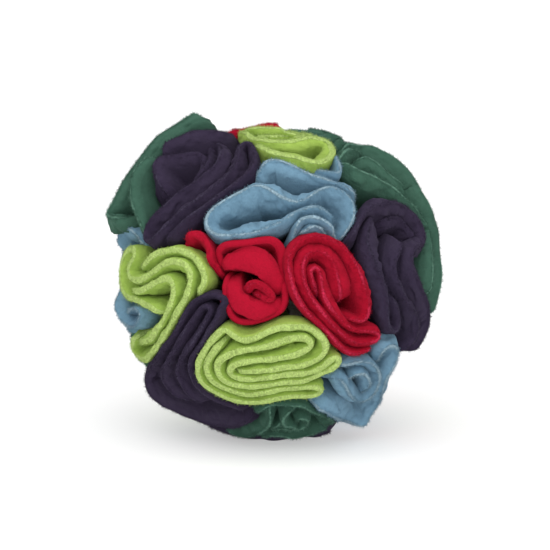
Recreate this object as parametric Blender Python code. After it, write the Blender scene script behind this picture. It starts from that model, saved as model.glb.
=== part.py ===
"""A foraging ball for a small pet: a stuffed core, and fleece rosettes tacked all over it.

Each rosette is one square of fleece, pinched in its middle, so that its four edges fold up into the wavy
line that shows on the outside of the ball. The rosettes on the front follow edge lines read by eye from a
photograph, in its pixels. The others are closed ruffles that fill the room left between their neighbours.
Lengths are metres, +Z is up, the front faces -Y, and the ball rests on z = 0.
"""

import math

import bpy
import bmesh
import numpy as np
from mathutils import Matrix, Vector

# The ball
FOLD_RADIUS = 0.068
CENTRE_HEIGHT = 0.0652
CENTRE_RIGHT = 0.0018
REST_CUT_DEPTH = 0.0005

# The core: two half covers with seam allowances turned in, the seam's thread, and the stuffing
COVER_RADIUS = 0.026
COVER_THICKNESS = 0.0012
SEAM_ALLOWANCE = 0.0045
SEAM_THREAD_RADIUS = 0.0006
SEAM_THREAD_SIDES = 6
CORE_SEGMENTS = 20
CORE_RINGS = 5
TOUCH_GAP = 0.0003

# The fleece and how it is pinched
FLEECE_THICKNESS = 0.0021
FOLD_CLEARANCE = 0.001
STEM_RADIUS = 0.0052
STEM_LENGTH = 0.007
STEM_SIDES = 10
PINCH_DEPTH = 0.004
PINCH_FOLD = 0.0004
PINCH_THREAD_RADIUS = 0.0006
PINCH_THREAD_STEPS = 10
PINCH_THREAD_SIDES = 5

# How finely the edge lines are worked out and drawn
EDGE_STEP = 0.0022
CURVE_PARTS = 8
WALL_TURN_STEP = math.radians(76)
WALL_RUN_STEP = 0.020
SETTLE_ROUNDS = 60
PAIR_ROUNDS = 6
PUSH_SHARE = 0.45
CROWD_SHARE = 0.25
SMOOTH_SHARE = 0.10
HOLD_SHARE = 0.03
NEAR_REACH_SHARE = 1.7
LEAST_MITRE_SHARE = 0.75
BEND_ROOM_SHARE = 0.42
SWELL_DEPTH = 0.009
QUARTER_TURN = math.pi / 2
SHARP_EDGE = math.radians(50)
NEARLY_UPRIGHT_SHARE = 0.9
ZERO_SHARE = 1e-6

# The photograph's view: the ball's middle and its fold radius in pixels, and the view's tilt from level
PHOTO_MIDDLE_PX = (278, 280)
PHOTO_RADIUS_PX = 162
VIEW_TILT = math.radians(12)
TOP_HEIGHT_SHARE = 0.965
LIMB_SHARE = 0.992

# Colours from the photograph, linear
NAVY = (0.030, 0.024, 0.045)
GREEN = (0.035, 0.105, 0.070)
LIME = (0.330, 0.480, 0.090)
BLUE = (0.165, 0.285, 0.370)
RED = (0.400, 0.010, 0.024)
CALICO = (0.620, 0.590, 0.520)
THREAD = (0.300, 0.280, 0.250)
FLEECE_ROUGHNESS = 0.95
THREAD_ROUGHNESS = 0.7

# Edge lines of the front rosettes, in photograph pixels. A third number is the height share of a point
# whose edge stands higher or lower than the fold radius.
NAVY_UPPER_PX = [
    [(157, 178, 1.06), (153, 166, 1.10), (160, 157, 1.10), (176, 155, 1.06), (191, 154, 1.03),
     (201, 153, 1.01), (207, 160), (203, 169, 0.97)],
    [(196, 182, 0.97), (204, 171, 0.98), (209, 158), (210, 147), (216, 142), (221, 149), (219, 160),
     (211, 170), (200, 179), (187, 189), (172, 200), (158, 213), (148, 226), (144, 238), (151, 243),
     (160, 233), (172, 220), (186, 209), (201, 198), (215, 188), (228, 178), (236, 168), (239, 156),
     (239, 146), (246, 140), (254, 147), (256, 160), (251, 171), (241, 180), (229, 189), (215, 199),
     (202, 209), (189, 219), (177, 230), (168, 240, 0.98)],
    [(163, 147, 1.13), (174, 140, 1.12), (187, 134, 1.10), (202, 131, 1.07), (218, 132, 1.03), (231, 134)],
]
GREEN_UPPER_PX = [
    [(201, 123, 1.07), (199, 112, 1.16), (185, 118, 1.14), (170, 128, 1.14), (157, 138, 1.14),
     (143, 154, 1.14), (131, 170, 1.14), (120, 188, 1.14), (112, 204, 1.14), (106, 218, 1.14),
     (116, 220, 1.11), (127, 225, 1.07)],
    [(146, 158, 1.14), (138, 166, 1.15), (132, 178, 1.15), (130, 191, 1.12), (133, 204, 1.09),
     (138, 217, 1.05), (141, 227, 1.02)],
]
LIME_TOP_PX = [
    [(259, 147, 0.97), (267, 153), (277, 154), (291, 157), (305, 161), (318, 164), (327, 160),
     (332, 150), (328, 141), (315, 138), (300, 140), (284, 143), (269, 143), (257, 140), (247, 135),
     (241, 129, 0.95)],
    [(250, 128, 0.95), (263, 130), (277, 132), (291, 133, 0.95)],
    [(319, 148, 0.96), (313, 153), (305, 153), (294, 149, 0.95)],
]
BLUE_UPPER_PX = [
    [(349, 233, 0.95), (354, 220), (353, 206), (345, 195), (334, 187), (324, 185), (314, 190), (304, 197),
     (294, 201), (283, 196), (272, 189), (261, 185), (249, 187), (237, 193), (225, 200), (212, 207),
     (205, 217), (209, 229), (220, 235), (236, 234), (253, 231), (270, 227), (283, 223), (292, 215),
     (302, 209), (314, 206), (325, 210, 0.97), (329, 217, 0.96)],
    [(291, 235, 0.95), (294, 225), (303, 217), (314, 217), (324, 222), (331, 230, 0.95)],
    [(258, 174, 0.94), (265, 164), (275, 158), (289, 163), (303, 169), (317, 175), (332, 179), (345, 182),
     (354, 188), (349, 194, 0.97)],
    [(333, 153), (339, 162), (340, 171), (331, 172), (318, 169, 0.95)],
]
RED_LEFT_PX = [
    [(187, 247, 0.94), (190, 236), (198, 232), (205, 239), (210, 249), (213, 260), (218, 270, 0.94)],
    [(217, 258, 0.95), (217, 246), (229, 241), (243, 242), (259, 239), (273, 236), (282, 244), (281, 257),
     (280, 270), (282, 284), (286, 298), (283, 308), (271, 313), (257, 317), (244, 320), (233, 316),
     (228, 305), (227, 293, 0.96)],
    [(233, 263, 0.95), (244, 259), (256, 260), (265, 266), (272, 276), (275, 286, 0.95)],
    [(247, 297, 0.96), (244, 287), (250, 280), (259, 281), (266, 288), (272, 297), (278, 303, 0.97),
     (268, 304, 0.97), (259, 298, 0.96)],
]
RED_RIGHT_PX = [
    [(352, 318), (360, 324), (367, 317), (367, 302), (363, 285), (357, 270), (350, 257), (341, 247),
     (329, 240), (316, 237), (303, 239), (293, 246), (286, 258), (286, 272), (290, 286), (298, 300),
     (308, 313), (320, 325), (332, 338), (343, 349), (356, 354), (368, 349)],
    [(339, 296, 0.97), (338, 282), (336, 268), (330, 256), (320, 250), (309, 251), (302, 260), (301, 273),
     (305, 287), (312, 300), (321, 312), (332, 324), (343, 335), (356, 342), (371, 341), (381, 335),
     (370, 331), (355, 331), (344, 324), (334, 313), (326, 301), (321, 288), (319, 274), (315, 264),
     (309, 269), (311, 282), (316, 293, 0.97)],
]
NAVY_RIGHT_PX = [
    [(348, 238, 0.97), (354, 226), (364, 214), (378, 206), (392, 202), (405, 206), (415, 216), (423, 228),
     (426, 240), (420, 246), (412, 250), (410, 262), (414, 275), (420, 288), (426, 300), (429, 314),
     (428, 328), (423, 340), (416, 350)],
    [(371, 218, 0.98), (366, 230), (366, 244), (370, 257), (376, 270), (382, 283), (386, 297), (386, 311),
     (387, 324), (392, 335), (399, 327), (398, 313), (393, 298, 0.98)],
    [(402, 244, 0.97), (396, 254), (393, 267), (395, 281), (401, 293), (409, 304), (415, 316), (418, 329),
     (413, 341), (405, 350, 0.98)],
    [(384, 219, 0.93), (397, 217, 0.93), (408, 226, 0.93), (414, 237, 0.95)],
]
GREEN_RIGHT_PX = [
    [(349, 146, 0.98), (360, 144), (372, 145), (384, 151), (396, 159), (408, 171), (420, 187), (430, 206),
     (436, 226), (439, 246), (441, 266), (440, 284), (437, 299), (432, 313)],
    [(343, 163), (352, 168), (363, 173), (375, 178), (387, 184), (399, 192), (409, 203), (418, 213),
     (427, 224), (431, 238), (432, 256), (432, 274), (431, 291)],
    [(364, 157, 0.97), (374, 162), (386, 171), (398, 181), (410, 193), (421, 207), (430, 221),
     (436, 236, 0.97)],
    [(343, 153), (350, 149, 0.97), (357, 151, 0.95)],
]
LIME_LEFT_PX = [
    [(158, 312), (149, 305), (138, 301), (127, 297), (121, 284), (120, 268), (124, 253), (132, 246),
     (136, 254), (129, 265), (128, 276), (136, 281), (146, 278), (155, 271), (165, 264), (177, 260),
     (188, 265), (193, 277), (190, 291), (183, 305), (174, 320), (165, 335), (155, 349), (146, 359),
     (137, 357), (131, 347), (133, 339)],
    [(142, 268, 0.96), (151, 259), (162, 252), (175, 249), (188, 252), (199, 260), (206, 272), (207, 284),
     (200, 293)],
    [(133, 289), (143, 291), (154, 285), (165, 277), (174, 279), (177, 290), (173, 303), (166, 317),
     (157, 331), (148, 341), (139, 342, 0.98)],
]
NAVY_LOWER_PX = [
    [(250, 422), (234, 426), (217, 426), (199, 422), (180, 415), (163, 405), (149, 393), (144, 379),
     (151, 365), (162, 351), (172, 337), (180, 323), (188, 310), (197, 299), (209, 293), (220, 295),
     (224, 305), (219, 317), (211, 329), (203, 341), (195, 353), (189, 366), (192, 379), (200, 390),
     (213, 398), (229, 403), (243, 409)],
    [(188, 401, 0.97), (176, 396), (165, 386), (162, 373), (168, 359), (178, 344), (188, 328), (197, 313),
     (207, 303), (214, 308), (208, 320), (200, 333), (191, 346), (182, 358), (177, 371), (181, 384),
     (190, 395), (200, 403, 0.97)],
]
LIME_LOWER_PX = [
    [(239, 371, 0.98), (255, 370), (276, 368), (299, 365), (315, 360), (325, 351), (326, 341), (317, 331),
     (303, 325), (286, 325), (270, 330), (257, 338), (245, 341), (234, 336), (227, 326), (221, 329),
     (212, 340), (203, 351), (198, 363), (199, 376), (207, 388), (221, 395), (237, 400), (251, 403),
     (268, 399), (290, 395), (308, 396), (321, 393), (321, 386), (301, 386), (282, 388), (266, 391),
     (250, 394), (233, 391), (217, 385), (208, 375), (207, 363), (213, 352), (220, 344)],
    [(238, 350), (254, 349), (270, 345), (285, 338), (300, 335), (314, 340), (312, 348), (297, 353),
     (279, 357), (256, 360), (234, 362), (227, 370), (234, 377), (253, 378), (277, 375), (302, 373),
     (320, 368), (331, 359), (339, 353), (338, 361), (326, 371), (305, 379), (278, 382), (253, 386),
     (232, 384), (219, 377), (218, 364), (224, 354), (238, 350)],
]
BLUE_LOWER_PX = [
    [(309, 402, 0.97), (320, 409), (333, 416), (348, 422), (363, 426), (371, 416), (378, 404), (383, 391),
     (386, 377), (394, 364), (398, 350), (390, 343), (381, 348), (378, 359, 0.97)],
    [(343, 365), (355, 360), (367, 360), (376, 367), (379, 379), (375, 391), (366, 400), (357, 402),
     (350, 393), (343, 382), (334, 374), (325, 376, 0.97)],
    [(348, 380, 0.95), (355, 371), (365, 372), (368, 383), (361, 392, 0.95)],
]
BLUE_LIMB_PX = [
    [(137, 234, 0.95), (127, 229, 0.98), (119, 232), (117, 243, 0.98)],
    [(118, 292), (115, 305), (119, 318), (129, 327), (138, 323), (143, 314), (137, 308), (128, 312, 0.97)],
]
GREEN_BOTTOM_PX = [
    [(257, 411), (268, 405), (282, 402), (297, 403), (310, 408), (323, 415), (336, 420), (324, 425, 0.98)],
    [(296, 421, 0.97), (302, 416), (309, 421), (303, 428), (292, 430), (283, 424), (285, 414),
     (294, 409, 0.98)],
    [(228, 432), (241, 436), (255, 435), (266, 428), (271, 419), (269, 411, 0.98)],
    [(262, 437, 0.99), (276, 434), (289, 437), (302, 437), (315, 433), (327, 430, 0.99)],
]

# Name, colour, tack direction as shares in the view (right, up, towards the eye), edge lines, and for the
# side that faces away the number of ruffles and the height share of their cut edge
FRONT_ROSETTES = (
    ("rosette_navy_upper_left", NAVY, (-0.45, 0.59, 0.67), NAVY_UPPER_PX, 0, 0.97),
    ("rosette_green_upper_left", GREEN, (-0.78, 0.60, -0.16), GREEN_UPPER_PX, 4, 0.97),
    ("rosette_lime_top", LIME, (0.06, 0.94, 0.32), LIME_TOP_PX, 4, 0.93),
    ("rosette_blue_upper_middle", BLUE, (0.07, 0.50, 0.86), BLUE_UPPER_PX, 0, 0.97),
    ("rosette_red_left_middle", RED, (-0.25, 0.03, 0.97), RED_LEFT_PX, 0, 0.97),
    ("rosette_red_right_middle", RED, (0.30, -0.09, 0.95), RED_RIGHT_PX, 0, 0.97),
    ("rosette_navy_right", NAVY, (0.74, 0.03, 0.67), NAVY_RIGHT_PX, 0, 0.97),
    ("rosette_green_right", GREEN, (0.93, 0.36, -0.02), GREEN_RIGHT_PX, 4, 0.97),
    ("rosette_lime_left", LIME, (-0.72, -0.10, 0.68), LIME_LEFT_PX, 0, 0.97),
    ("rosette_navy_lower_left", NAVY, (-0.52, -0.56, 0.64), NAVY_LOWER_PX, 0, 0.97),
    ("rosette_lime_lower_middle", LIME, (-0.05, -0.50, 0.86), LIME_LOWER_PX, 0, 0.97),
    ("rosette_blue_lower_right", BLUE, (0.50, -0.66, 0.56), BLUE_LOWER_PX, 0, 0.97),
    ("rosette_blue_left", BLUE, (-0.98, -0.05, 0.10), BLUE_LIMB_PX, 4, 0.97),
    ("rosette_green_bottom", GREEN, (0.07, -0.92, 0.38), GREEN_BOTTOM_PX, 3, 0.97),
)
# Name, colour, a first tack direction as shares in the view, number of ruffles, their first turn in
# radians, and the height share of the cut edge
HIDDEN_ROSETTES = (
    ("rosette_red_top_back", RED, (-0.25, 0.95, -0.10), 6, 0.4, 0.965),
    ("rosette_green_top", GREEN, (0.40, 0.90, 0.0), 7, 0.0, 0.965),
    ("rosette_green_lower_left", GREEN, (-0.90, -0.40, -0.20), 7, 1.0, 0.98),
    ("rosette_navy_base", NAVY, (0.0, -0.98, -0.20), 7, 0.2, 1.0),
    ("rosette_red_lower_right", RED, (0.80, -0.55, -0.10), 7, 0.7, 0.87),
    ("rosette_lime_right_back", LIME, (0.90, -0.05, -0.45), 7, 0.3, 0.97),
    ("rosette_navy_back_upper", NAVY, (0.25, 0.55, -0.80), 7, 0.9, 1.0),
    ("rosette_blue_back_upper_right", BLUE, (0.72, 0.45, -0.55), 7, 0.1, 1.0),
    ("rosette_green_back_upper", GREEN, (-0.05, 0.80, -0.60), 7, 0.2, 0.98),
    ("rosette_lime_back_upper_left", LIME, (-0.62, 0.45, -0.65), 7, 0.6, 1.0),
    ("rosette_red_back_middle", RED, (0.35, -0.05, -0.95), 7, 0.4, 1.0),
    ("rosette_navy_back_left", NAVY, (-0.75, -0.10, -0.65), 7, 0.8, 1.0),
    ("rosette_blue_back_lower", BLUE, (0.45, -0.65, -0.65), 7, 0.0, 1.0),
    ("rosette_lime_back_lower_left", LIME, (-0.35, -0.60, -0.72), 7, 0.5, 1.0),
)
# How far the faces of an open fold swell out to each side, for each edge line of a rosette
SWELLS = {"rosette_green_upper_left": (0.0050,)}
RUFFLE_POINTS = 200
RUFFLE_MIDDLE_SHARE = 0.79
RUFFLE_WAVE_SHARE = 0.18
RUFFLE_SECOND_SHARE = 0.05
RUFFLE_SWIRL_SHARE = 0.9
RUFFLE_UNEVEN_SHARE = 0.12
RUFFLE_ROOM_SHARE = 0.96
AWAY_SECTOR = math.radians(190)
SPREAD_ROUNDS = 80
SPREAD_STEP_SHARE = 0.02
DIRECTION_BINS = 72
SOFTEN_ROUNDS = 4


def unit(v):
    return v / np.linalg.norm(v, axis=-1, keepdims=True)


def view_to_world(v):
    """Turn (right, up, towards the eye) into world X, Y and Z."""
    right, up, near = v[..., 0], v[..., 1], v[..., 2]
    sin_tilt = math.sin(VIEW_TILT)
    cos_tilt = math.cos(VIEW_TILT)
    return np.stack([right, up * sin_tilt - near * cos_tilt, up * cos_tilt + near * sin_tilt], axis=-1)


def smooth_curve(points, closed, step):
    """Even steps along a smooth curve through a few points."""
    points = np.asarray(points, dtype=float)
    count = len(points)
    dense = []
    last = count if closed else count - 1
    for i in range(last):
        if closed:
            a, b, c, d = (points[(i + k) % count] for k in (-1, 0, 1, 2))
        else:
            a, b, c, d = (points[min(max(i + k, 0), count - 1)] for k in (-1, 0, 1, 2))
        for t in np.arange(CURVE_PARTS) / CURVE_PARTS:
            dense.append((2 * b + (c - a) * t + (2 * a - 5 * b + 4 * c - d) * t**2
                          + (3 * b - a - 3 * c + d) * t**3) / 2)
    dense.append(points[0] if closed else points[-1])
    dense = np.array(dense)
    lengths = np.linalg.norm(np.diff(dense[:, :3], axis=0), axis=1)
    along = np.concatenate([[0.0], np.cumsum(lengths)])
    steps = max(int(round(along[-1] / step)), 3)
    wanted = np.linspace(0.0, along[-1], steps + 1)
    if closed:
        wanted = wanted[:-1]
    return np.stack([np.interp(wanted, along, dense[:, k]) for k in range(dense.shape[1])], axis=1)


def traced_line(points_px):
    """One edge line from photograph pixels: its world directions, height shares and whether it closes."""
    rows = []
    for point in points_px:
        u = (point[0] - PHOTO_MIDDLE_PX[0]) / PHOTO_RADIUS_PX
        v = (PHOTO_MIDDLE_PX[1] - point[1]) / PHOTO_RADIUS_PX
        flat = math.hypot(u, v)
        height = point[2] if len(point) > 2 else max(1.0 - (1.0 - TOP_HEIGHT_SHARE) * max(v, 0.0), 0.0)
        height = max(height, flat / LIMB_SHARE)
        near = math.sqrt(height**2 - flat**2)
        rows.append([u, v, near])
    closed = tuple(points_px[0]) == tuple(points_px[-1])
    if closed:
        rows = rows[:-1]
    curve = smooth_curve(rows, closed, EDGE_STEP / FOLD_RADIUS)
    heights = np.linalg.norm(curve, axis=1)
    return view_to_world(unit(curve)), heights, closed


def spread_directions():
    """Tack directions of every rosette; the hidden ones shift until they fill the room evenly."""
    fixed = unit(view_to_world(np.array([r[2] for r in FRONT_ROSETTES])))
    free = unit(view_to_world(np.array([r[2] for r in HIDDEN_ROSETTES])))
    for _ in range(SPREAD_ROUNDS):
        everyone = np.concatenate([fixed, free])
        away = free[:, None, :] - everyone[None, :, :]
        distance = np.linalg.norm(away, axis=2)
        distance[distance == 0.0] = np.inf
        push = (away / distance[..., None]**3).sum(axis=1)
        free = unit(free + SPREAD_STEP_SHARE * unit(push))
    return fixed, free


def frame_of(axis):
    """Two directions square to an axis."""
    side = np.cross(axis, (0.0, 0.0, 1.0) if abs(axis[2]) < NEARLY_UPRIGHT_SHARE else (1.0, 0.0, 0.0))
    side = side / np.linalg.norm(side)
    return side, np.cross(axis, side)


def room_round(axis, angles, ways, others, drawn):
    """How far, in radians, a ruffle may reach each way before it meets a neighbour or a drawn line."""
    room = np.full(len(angles), QUARTER_TURN)
    for other in others:
        halfway = unit(axis - other)
        here = np.arctan2(np.full(len(angles), axis @ halfway), -(ways @ halfway))
        room = np.minimum(room, np.where(here > 0, here, QUARTER_TURN))
    side, cross = ways[0], np.cross(axis, ways[0])
    bins = ((np.arctan2(drawn @ cross, drawn @ side) / (2 * math.pi)) % 1.0 * DIRECTION_BINS).astype(int)
    reach = np.arccos(np.clip(drawn @ axis, -1.0, 1.0)) - (FLEECE_THICKNESS + FOLD_CLEARANCE) / FOLD_RADIUS
    nearest = np.full(DIRECTION_BINS, QUARTER_TURN)
    np.minimum.at(nearest, bins % DIRECTION_BINS, reach)
    nearest = np.minimum(nearest, np.minimum(np.roll(nearest, 1), np.roll(nearest, -1)))
    own_bin = (angles / (2 * math.pi) * DIRECTION_BINS).astype(int) % DIRECTION_BINS
    room = np.minimum(room * RUFFLE_ROOM_SHARE, nearest[own_bin])
    for _ in range(SOFTEN_ROUNDS):
        room = np.minimum(room, (np.roll(room, 1) + room + np.roll(room, -1)) / 3)
    return room


def ruffle_line(axis, others, drawn, folds, turn, height, sector):
    """A ruffle round a tack direction, as wide each way as its neighbours leave room for.

    A sector of a full turn closes the ruffle; a smaller one leaves it open, on the side away from the eye.
    """
    away = view_to_world(np.array([0.0, 0.0, -1.0]))
    side = unit(away - axis * (away @ axis))
    cross = np.cross(axis, side)
    angles = 2 * math.pi * np.arange(RUFFLE_POINTS) / RUFFLE_POINTS
    ways = np.outer(np.cos(angles), side) + np.outer(np.sin(angles), cross)
    room = room_round(axis, angles, ways, others, drawn)
    closed = sector >= 2 * math.pi
    along = angles * sector / (2 * math.pi) - (0.0 if closed else sector / 2)
    wave = np.cos(folds * angles + turn) + RUFFLE_SECOND_SHARE * np.cos(2 * angles + turn)
    share = RUFFLE_MIDDLE_SHARE + RUFFLE_WAVE_SHARE * wave
    swirl = along + RUFFLE_SWIRL_SHARE * (share - RUFFLE_MIDDLE_SHARE)
    swirl += RUFFLE_UNEVEN_SHARE * np.sin(2 * angles + turn)
    if closed:
        swirl = swirl + turn
    tilt = np.interp(swirl % (2 * math.pi), angles, room, period=2 * math.pi) * share
    ways = np.outer(np.cos(swirl), side) + np.outer(np.sin(swirl), cross)
    directions = np.cos(tilt)[:, None] * axis + np.sin(tilt)[:, None] * ways
    curve = smooth_curve(directions, closed, EDGE_STEP / FOLD_RADIUS)
    return unit(curve), np.full(len(curve), height), closed


def settle(lines):
    """Push all edge lines apart until neighbouring folds clear each other, keeping them smooth."""
    start = np.concatenate([line[0] for line in lines])
    now = start.copy()
    owner = np.concatenate([np.full(len(line[0]), i) for i, line in enumerate(lines)])
    place = np.concatenate([np.arange(len(line[0])) for line in lines])
    size = np.concatenate([np.full(len(line[0]), len(line[0])) for line in lines])
    loops = np.concatenate([np.full(len(line[0]), line[2]) for line in lines])
    first = np.arange(len(now)) - place
    before = np.where(place > 0, first + place - 1, np.where(loops, first + size - 1, first))
    after = np.where(place < size - 1, first + place + 1, np.where(loops, first, first + size - 1))
    pitch = (FLEECE_THICKNESS + FOLD_CLEARANCE) / FOLD_RADIUS
    near_cos = math.cos(pitch * NEAR_REACH_SHARE)
    skip = QUARTER_TURN * pitch / (EDGE_STEP / FOLD_RADIUS)
    pairs = None
    for turn in range(SETTLE_ROUNDS):
        if turn % PAIR_ROUNDS == 0:
            small = now.astype(np.float32)
            i, j = np.nonzero(small @ small.T > near_cos)
            keep = i < j
            i, j = i[keep], j[keep]
            apart = np.abs(place[i] - place[j])
            apart = np.where(loops[i], np.minimum(apart, size[i] - apart), apart)
            keep = (owner[i] != owner[j]) | (apart > skip)
            pairs = i[keep], j[keep]
        i, j = pairs
        away = now[i] - now[j]
        distance = np.maximum(np.linalg.norm(away, axis=1), ZERO_SHARE)
        short = np.maximum(pitch - distance, 0.0)
        push = away * (PUSH_SHARE * short / distance)[:, None]
        move = np.zeros_like(now)
        for k in range(3):
            move[:, k] += np.bincount(i, push[:, k], len(now)) - np.bincount(j, push[:, k], len(now))
        crowd = np.bincount(i, short > 0, len(now)) + np.bincount(j, short > 0, len(now))
        move /= (1.0 + CROWD_SHARE * crowd)[:, None]
        move += SMOOTH_SHARE * ((now[before] + now[after]) / 2 - now)
        move += HOLD_SHARE * (start - now)
        now = unit(now + move)
    done = []
    for i, line in enumerate(lines):
        done.append((now[owner == i], line[1], line[2]))
    return done


def few_points(line):
    """Indices of the few points that draw a line: closer together where it turns more."""
    points = line[0] * (FOLD_RADIUS * line[1])[:, None]
    closed = line[2]
    count = len(points)
    if closed:
        points = np.concatenate([points, points[:2]])
    steps = np.diff(points, axis=0)
    lengths = np.linalg.norm(steps, axis=1)
    ways = steps / lengths[:, None]
    turns = np.arccos(np.clip((ways[1:] * ways[:-1]).sum(axis=1), -1.0, 1.0))
    if closed:
        turns = np.roll(turns, 1)[:count]
        lengths = lengths[:count]
    else:
        turns = np.concatenate([[0.0], turns, [0.0]])
    halves = (turns + np.roll(turns, -1))[:len(lengths)] / 2
    cost = np.concatenate([[0.0], np.cumsum(halves / WALL_TURN_STEP + lengths / WALL_RUN_STEP)])
    parts = max(int(math.ceil(cost[-1])), 3)
    marks = cost[-1] * np.arange(parts + (0 if closed else 1)) / parts
    return sorted(set(int(i) % count for i in np.rint(np.interp(marks, cost, np.arange(len(cost))))))


def pressed(points):
    """Bend what would pass under the floor up to the depth that is then cut flat."""
    lowest = -CENTRE_HEIGHT - REST_CUT_DEPTH
    share = np.where(points[:, 2] < lowest, lowest / np.minimum(points[:, 2], -COVER_RADIUS), 1.0)
    points = points * share[:, None]
    points[:, 2] = np.maximum(points[:, 2], -CENTRE_HEIGHT)
    return points


def wall_edges(line, swell):
    """The outer and inner edge of a fold's wall at the few points that draw it, and its swell below them."""
    kept = few_points(line)
    directions, heights, closed = line[0][kept], line[1][kept], line[2]
    before = directions - np.roll(directions, 1, axis=0)
    after = np.roll(directions, -1, axis=0) - directions
    if not closed:
        before[0] = after[0]
        after[-1] = before[-1]
    into = unit(before)
    out = unit(after)
    tangent = unit(into + out)
    mitre = np.maximum((into * tangent).sum(axis=1), LEAST_MITRE_SHARE)
    lateral = unit(np.cross(directions, tangent)) / mitre[:, None]
    bend = np.arctan2((np.cross(into, out) * directions).sum(axis=1), (into * out).sum(axis=1))
    shorter = np.minimum(np.linalg.norm(before, axis=1), np.linalg.norm(after, axis=1))
    room = BEND_ROOM_SHARE * shorter / np.maximum(np.abs(np.tan(bend / 2)), ZERO_SHARE)
    half = FLEECE_THICKNESS / 2 / FOLD_RADIUS
    left = np.where(bend > 0, np.minimum(half, room), half)[:, None]
    right = np.where(bend < 0, np.minimum(half, room), half)[:, None]
    radius = (FOLD_RADIUS * heights)[:, None]
    outer = pressed(unit(directions - right * lateral) * radius)
    inner = pressed(unit(directions + left * lateral) * radius)
    if not swell:
        return outer, inner, None, None
    along = np.array(kept) / (len(line[0]) - 1)
    wide = half + swell / FOLD_RADIUS * (np.sin(math.pi * along)**2)[:, None]
    outer_belly = pressed(unit(directions - wide * lateral) * (radius - SWELL_DEPTH))
    inner_belly = pressed(unit(directions + wide * lateral) * (radius - SWELL_DEPTH))
    return outer, inner, outer_belly, inner_belly


def add_swell(mesh, outer, inner, outer_belly, inner_belly, to_local):
    """Add the upper part of an open wall's faces, from its cut edge out to its swell."""
    outer_belly = [mesh.verts.new(to_local @ Vector(p)) for p in outer_belly]
    inner_belly = [mesh.verts.new(to_local @ Vector(p)) for p in inner_belly]
    for i in range(len(outer) - 1):
        mesh.faces.new((outer[i + 1], outer[i], outer_belly[i], outer_belly[i + 1]))
        mesh.faces.new((inner[i], inner[i + 1], inner_belly[i + 1], inner_belly[i]))
    return outer_belly, inner_belly


def add_wall(mesh, line, axis, to_local, swell):
    """Add one fold's wall to a mesh: its cut edge, and both faces drawn down to the pinch."""
    closed = line[2]
    outer, inner, outer_belly, inner_belly = wall_edges(line, swell)
    count = len(outer)
    outer = [mesh.verts.new(to_local @ Vector(p)) for p in outer]
    inner = [mesh.verts.new(to_local @ Vector(p)) for p in inner]
    low = mesh.verts.new((0.0, 0.0, STEM_LENGTH - PINCH_DEPTH))
    high = mesh.verts.new((0.0, 0.0, STEM_LENGTH - PINCH_DEPTH + PINCH_FOLD)) if closed else low
    turning = np.cross(line[0], np.roll(line[0], -1, axis=0)).sum(axis=0) @ axis
    outer_foot, inner_foot = (low, high) if turning > 0 else (high, low)
    for i in range(count if closed else count - 1):
        n = (i + 1) % count
        mesh.faces.new((outer[i], outer[n], inner[n], inner[i]))
    if not closed:
        outer_end = [outer[0], outer[-1]]
        inner_end = [inner[0], inner[-1]]
    if outer_belly is not None:
        outer, inner = add_swell(mesh, outer, inner, outer_belly, inner_belly, to_local)
    for i in range(count if closed else count - 1):
        n = (i + 1) % count
        mesh.faces.new((outer[n], outer[i], outer_foot))
        mesh.faces.new((inner[i], inner[n], inner_foot))
    if not closed:
        mesh.faces.new(dict.fromkeys((outer[0], outer_end[0], inner_end[0], inner[0], low)))
        mesh.faces.new(dict.fromkeys((inner[-1], inner_end[1], outer_end[1], outer[-1], low)))


def fabric(name, colour, roughness):
    material = bpy.data.materials.new(name)
    material.use_nodes = True
    shader = material.node_tree.nodes["Principled BSDF"]
    shader.inputs["Base Color"].default_value = (*colour, 1.0)
    shader.inputs["Roughness"].default_value = roughness
    shader.inputs["Metallic"].default_value = 0.0
    material.diffuse_color = (*colour, 1.0)
    return material


def place(name, mesh, parent, matrix, colour, roughness):
    """Make an object of a bmesh, placed under its parent."""
    bmesh.ops.recalc_face_normals(mesh, faces=mesh.faces)
    data = bpy.data.meshes.new(name)
    mesh.to_mesh(data)
    mesh.free()
    data.shade_smooth()
    data.set_sharp_from_angle(angle=SHARP_EDGE)
    data.materials.append(fabric(name + "_fabric", colour, roughness))
    item = bpy.data.objects.new(name, data)
    bpy.context.scene.collection.objects.link(item)
    item.parent = parent
    item.matrix_local = matrix
    return item


def tack_matrix(axis):
    """Where a rosette sits: its foot on the cover, its own Z along the tack direction."""
    side, cross = frame_of(axis)
    turn = Matrix((side, cross, axis)).transposed().to_4x4()
    foot = Vector(axis) * (COVER_RADIUS + TOUCH_GAP)
    return Matrix.Translation(foot) @ turn


def rosette(name, colour, axis, lines, centre):
    """One fleece square: its folded walls, joined to the pinched stem."""
    matrix = tack_matrix(axis)
    to_local = matrix.inverted()
    mesh = bmesh.new()
    swells = SWELLS.get(name, ())
    for k, line in enumerate(lines):
        add_wall(mesh, line, axis, to_local, swells[k] if k < len(swells) else 0.0)
    item = place(name, mesh, centre, matrix, colour, FLEECE_ROUGHNESS)
    stem = bmesh.new()
    bmesh.ops.create_cone(stem, cap_ends=True, segments=STEM_SIDES, radius1=STEM_RADIUS,
                          radius2=STEM_RADIUS, depth=STEM_LENGTH,
                          matrix=Matrix.Translation((0.0, 0.0, STEM_LENGTH / 2)))
    pinch = place(name + "_stem", stem, centre, matrix, colour, FLEECE_ROUGHNESS)
    pinch.hide_render = True
    pinch.hide_set(True)
    pinch.display_type = "WIRE"
    join = item.modifiers.new("pinch", "BOOLEAN")
    join.operation = "UNION"
    join.solver = "EXACT"
    join.use_self = True
    join.object = pinch
    return item


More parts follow.
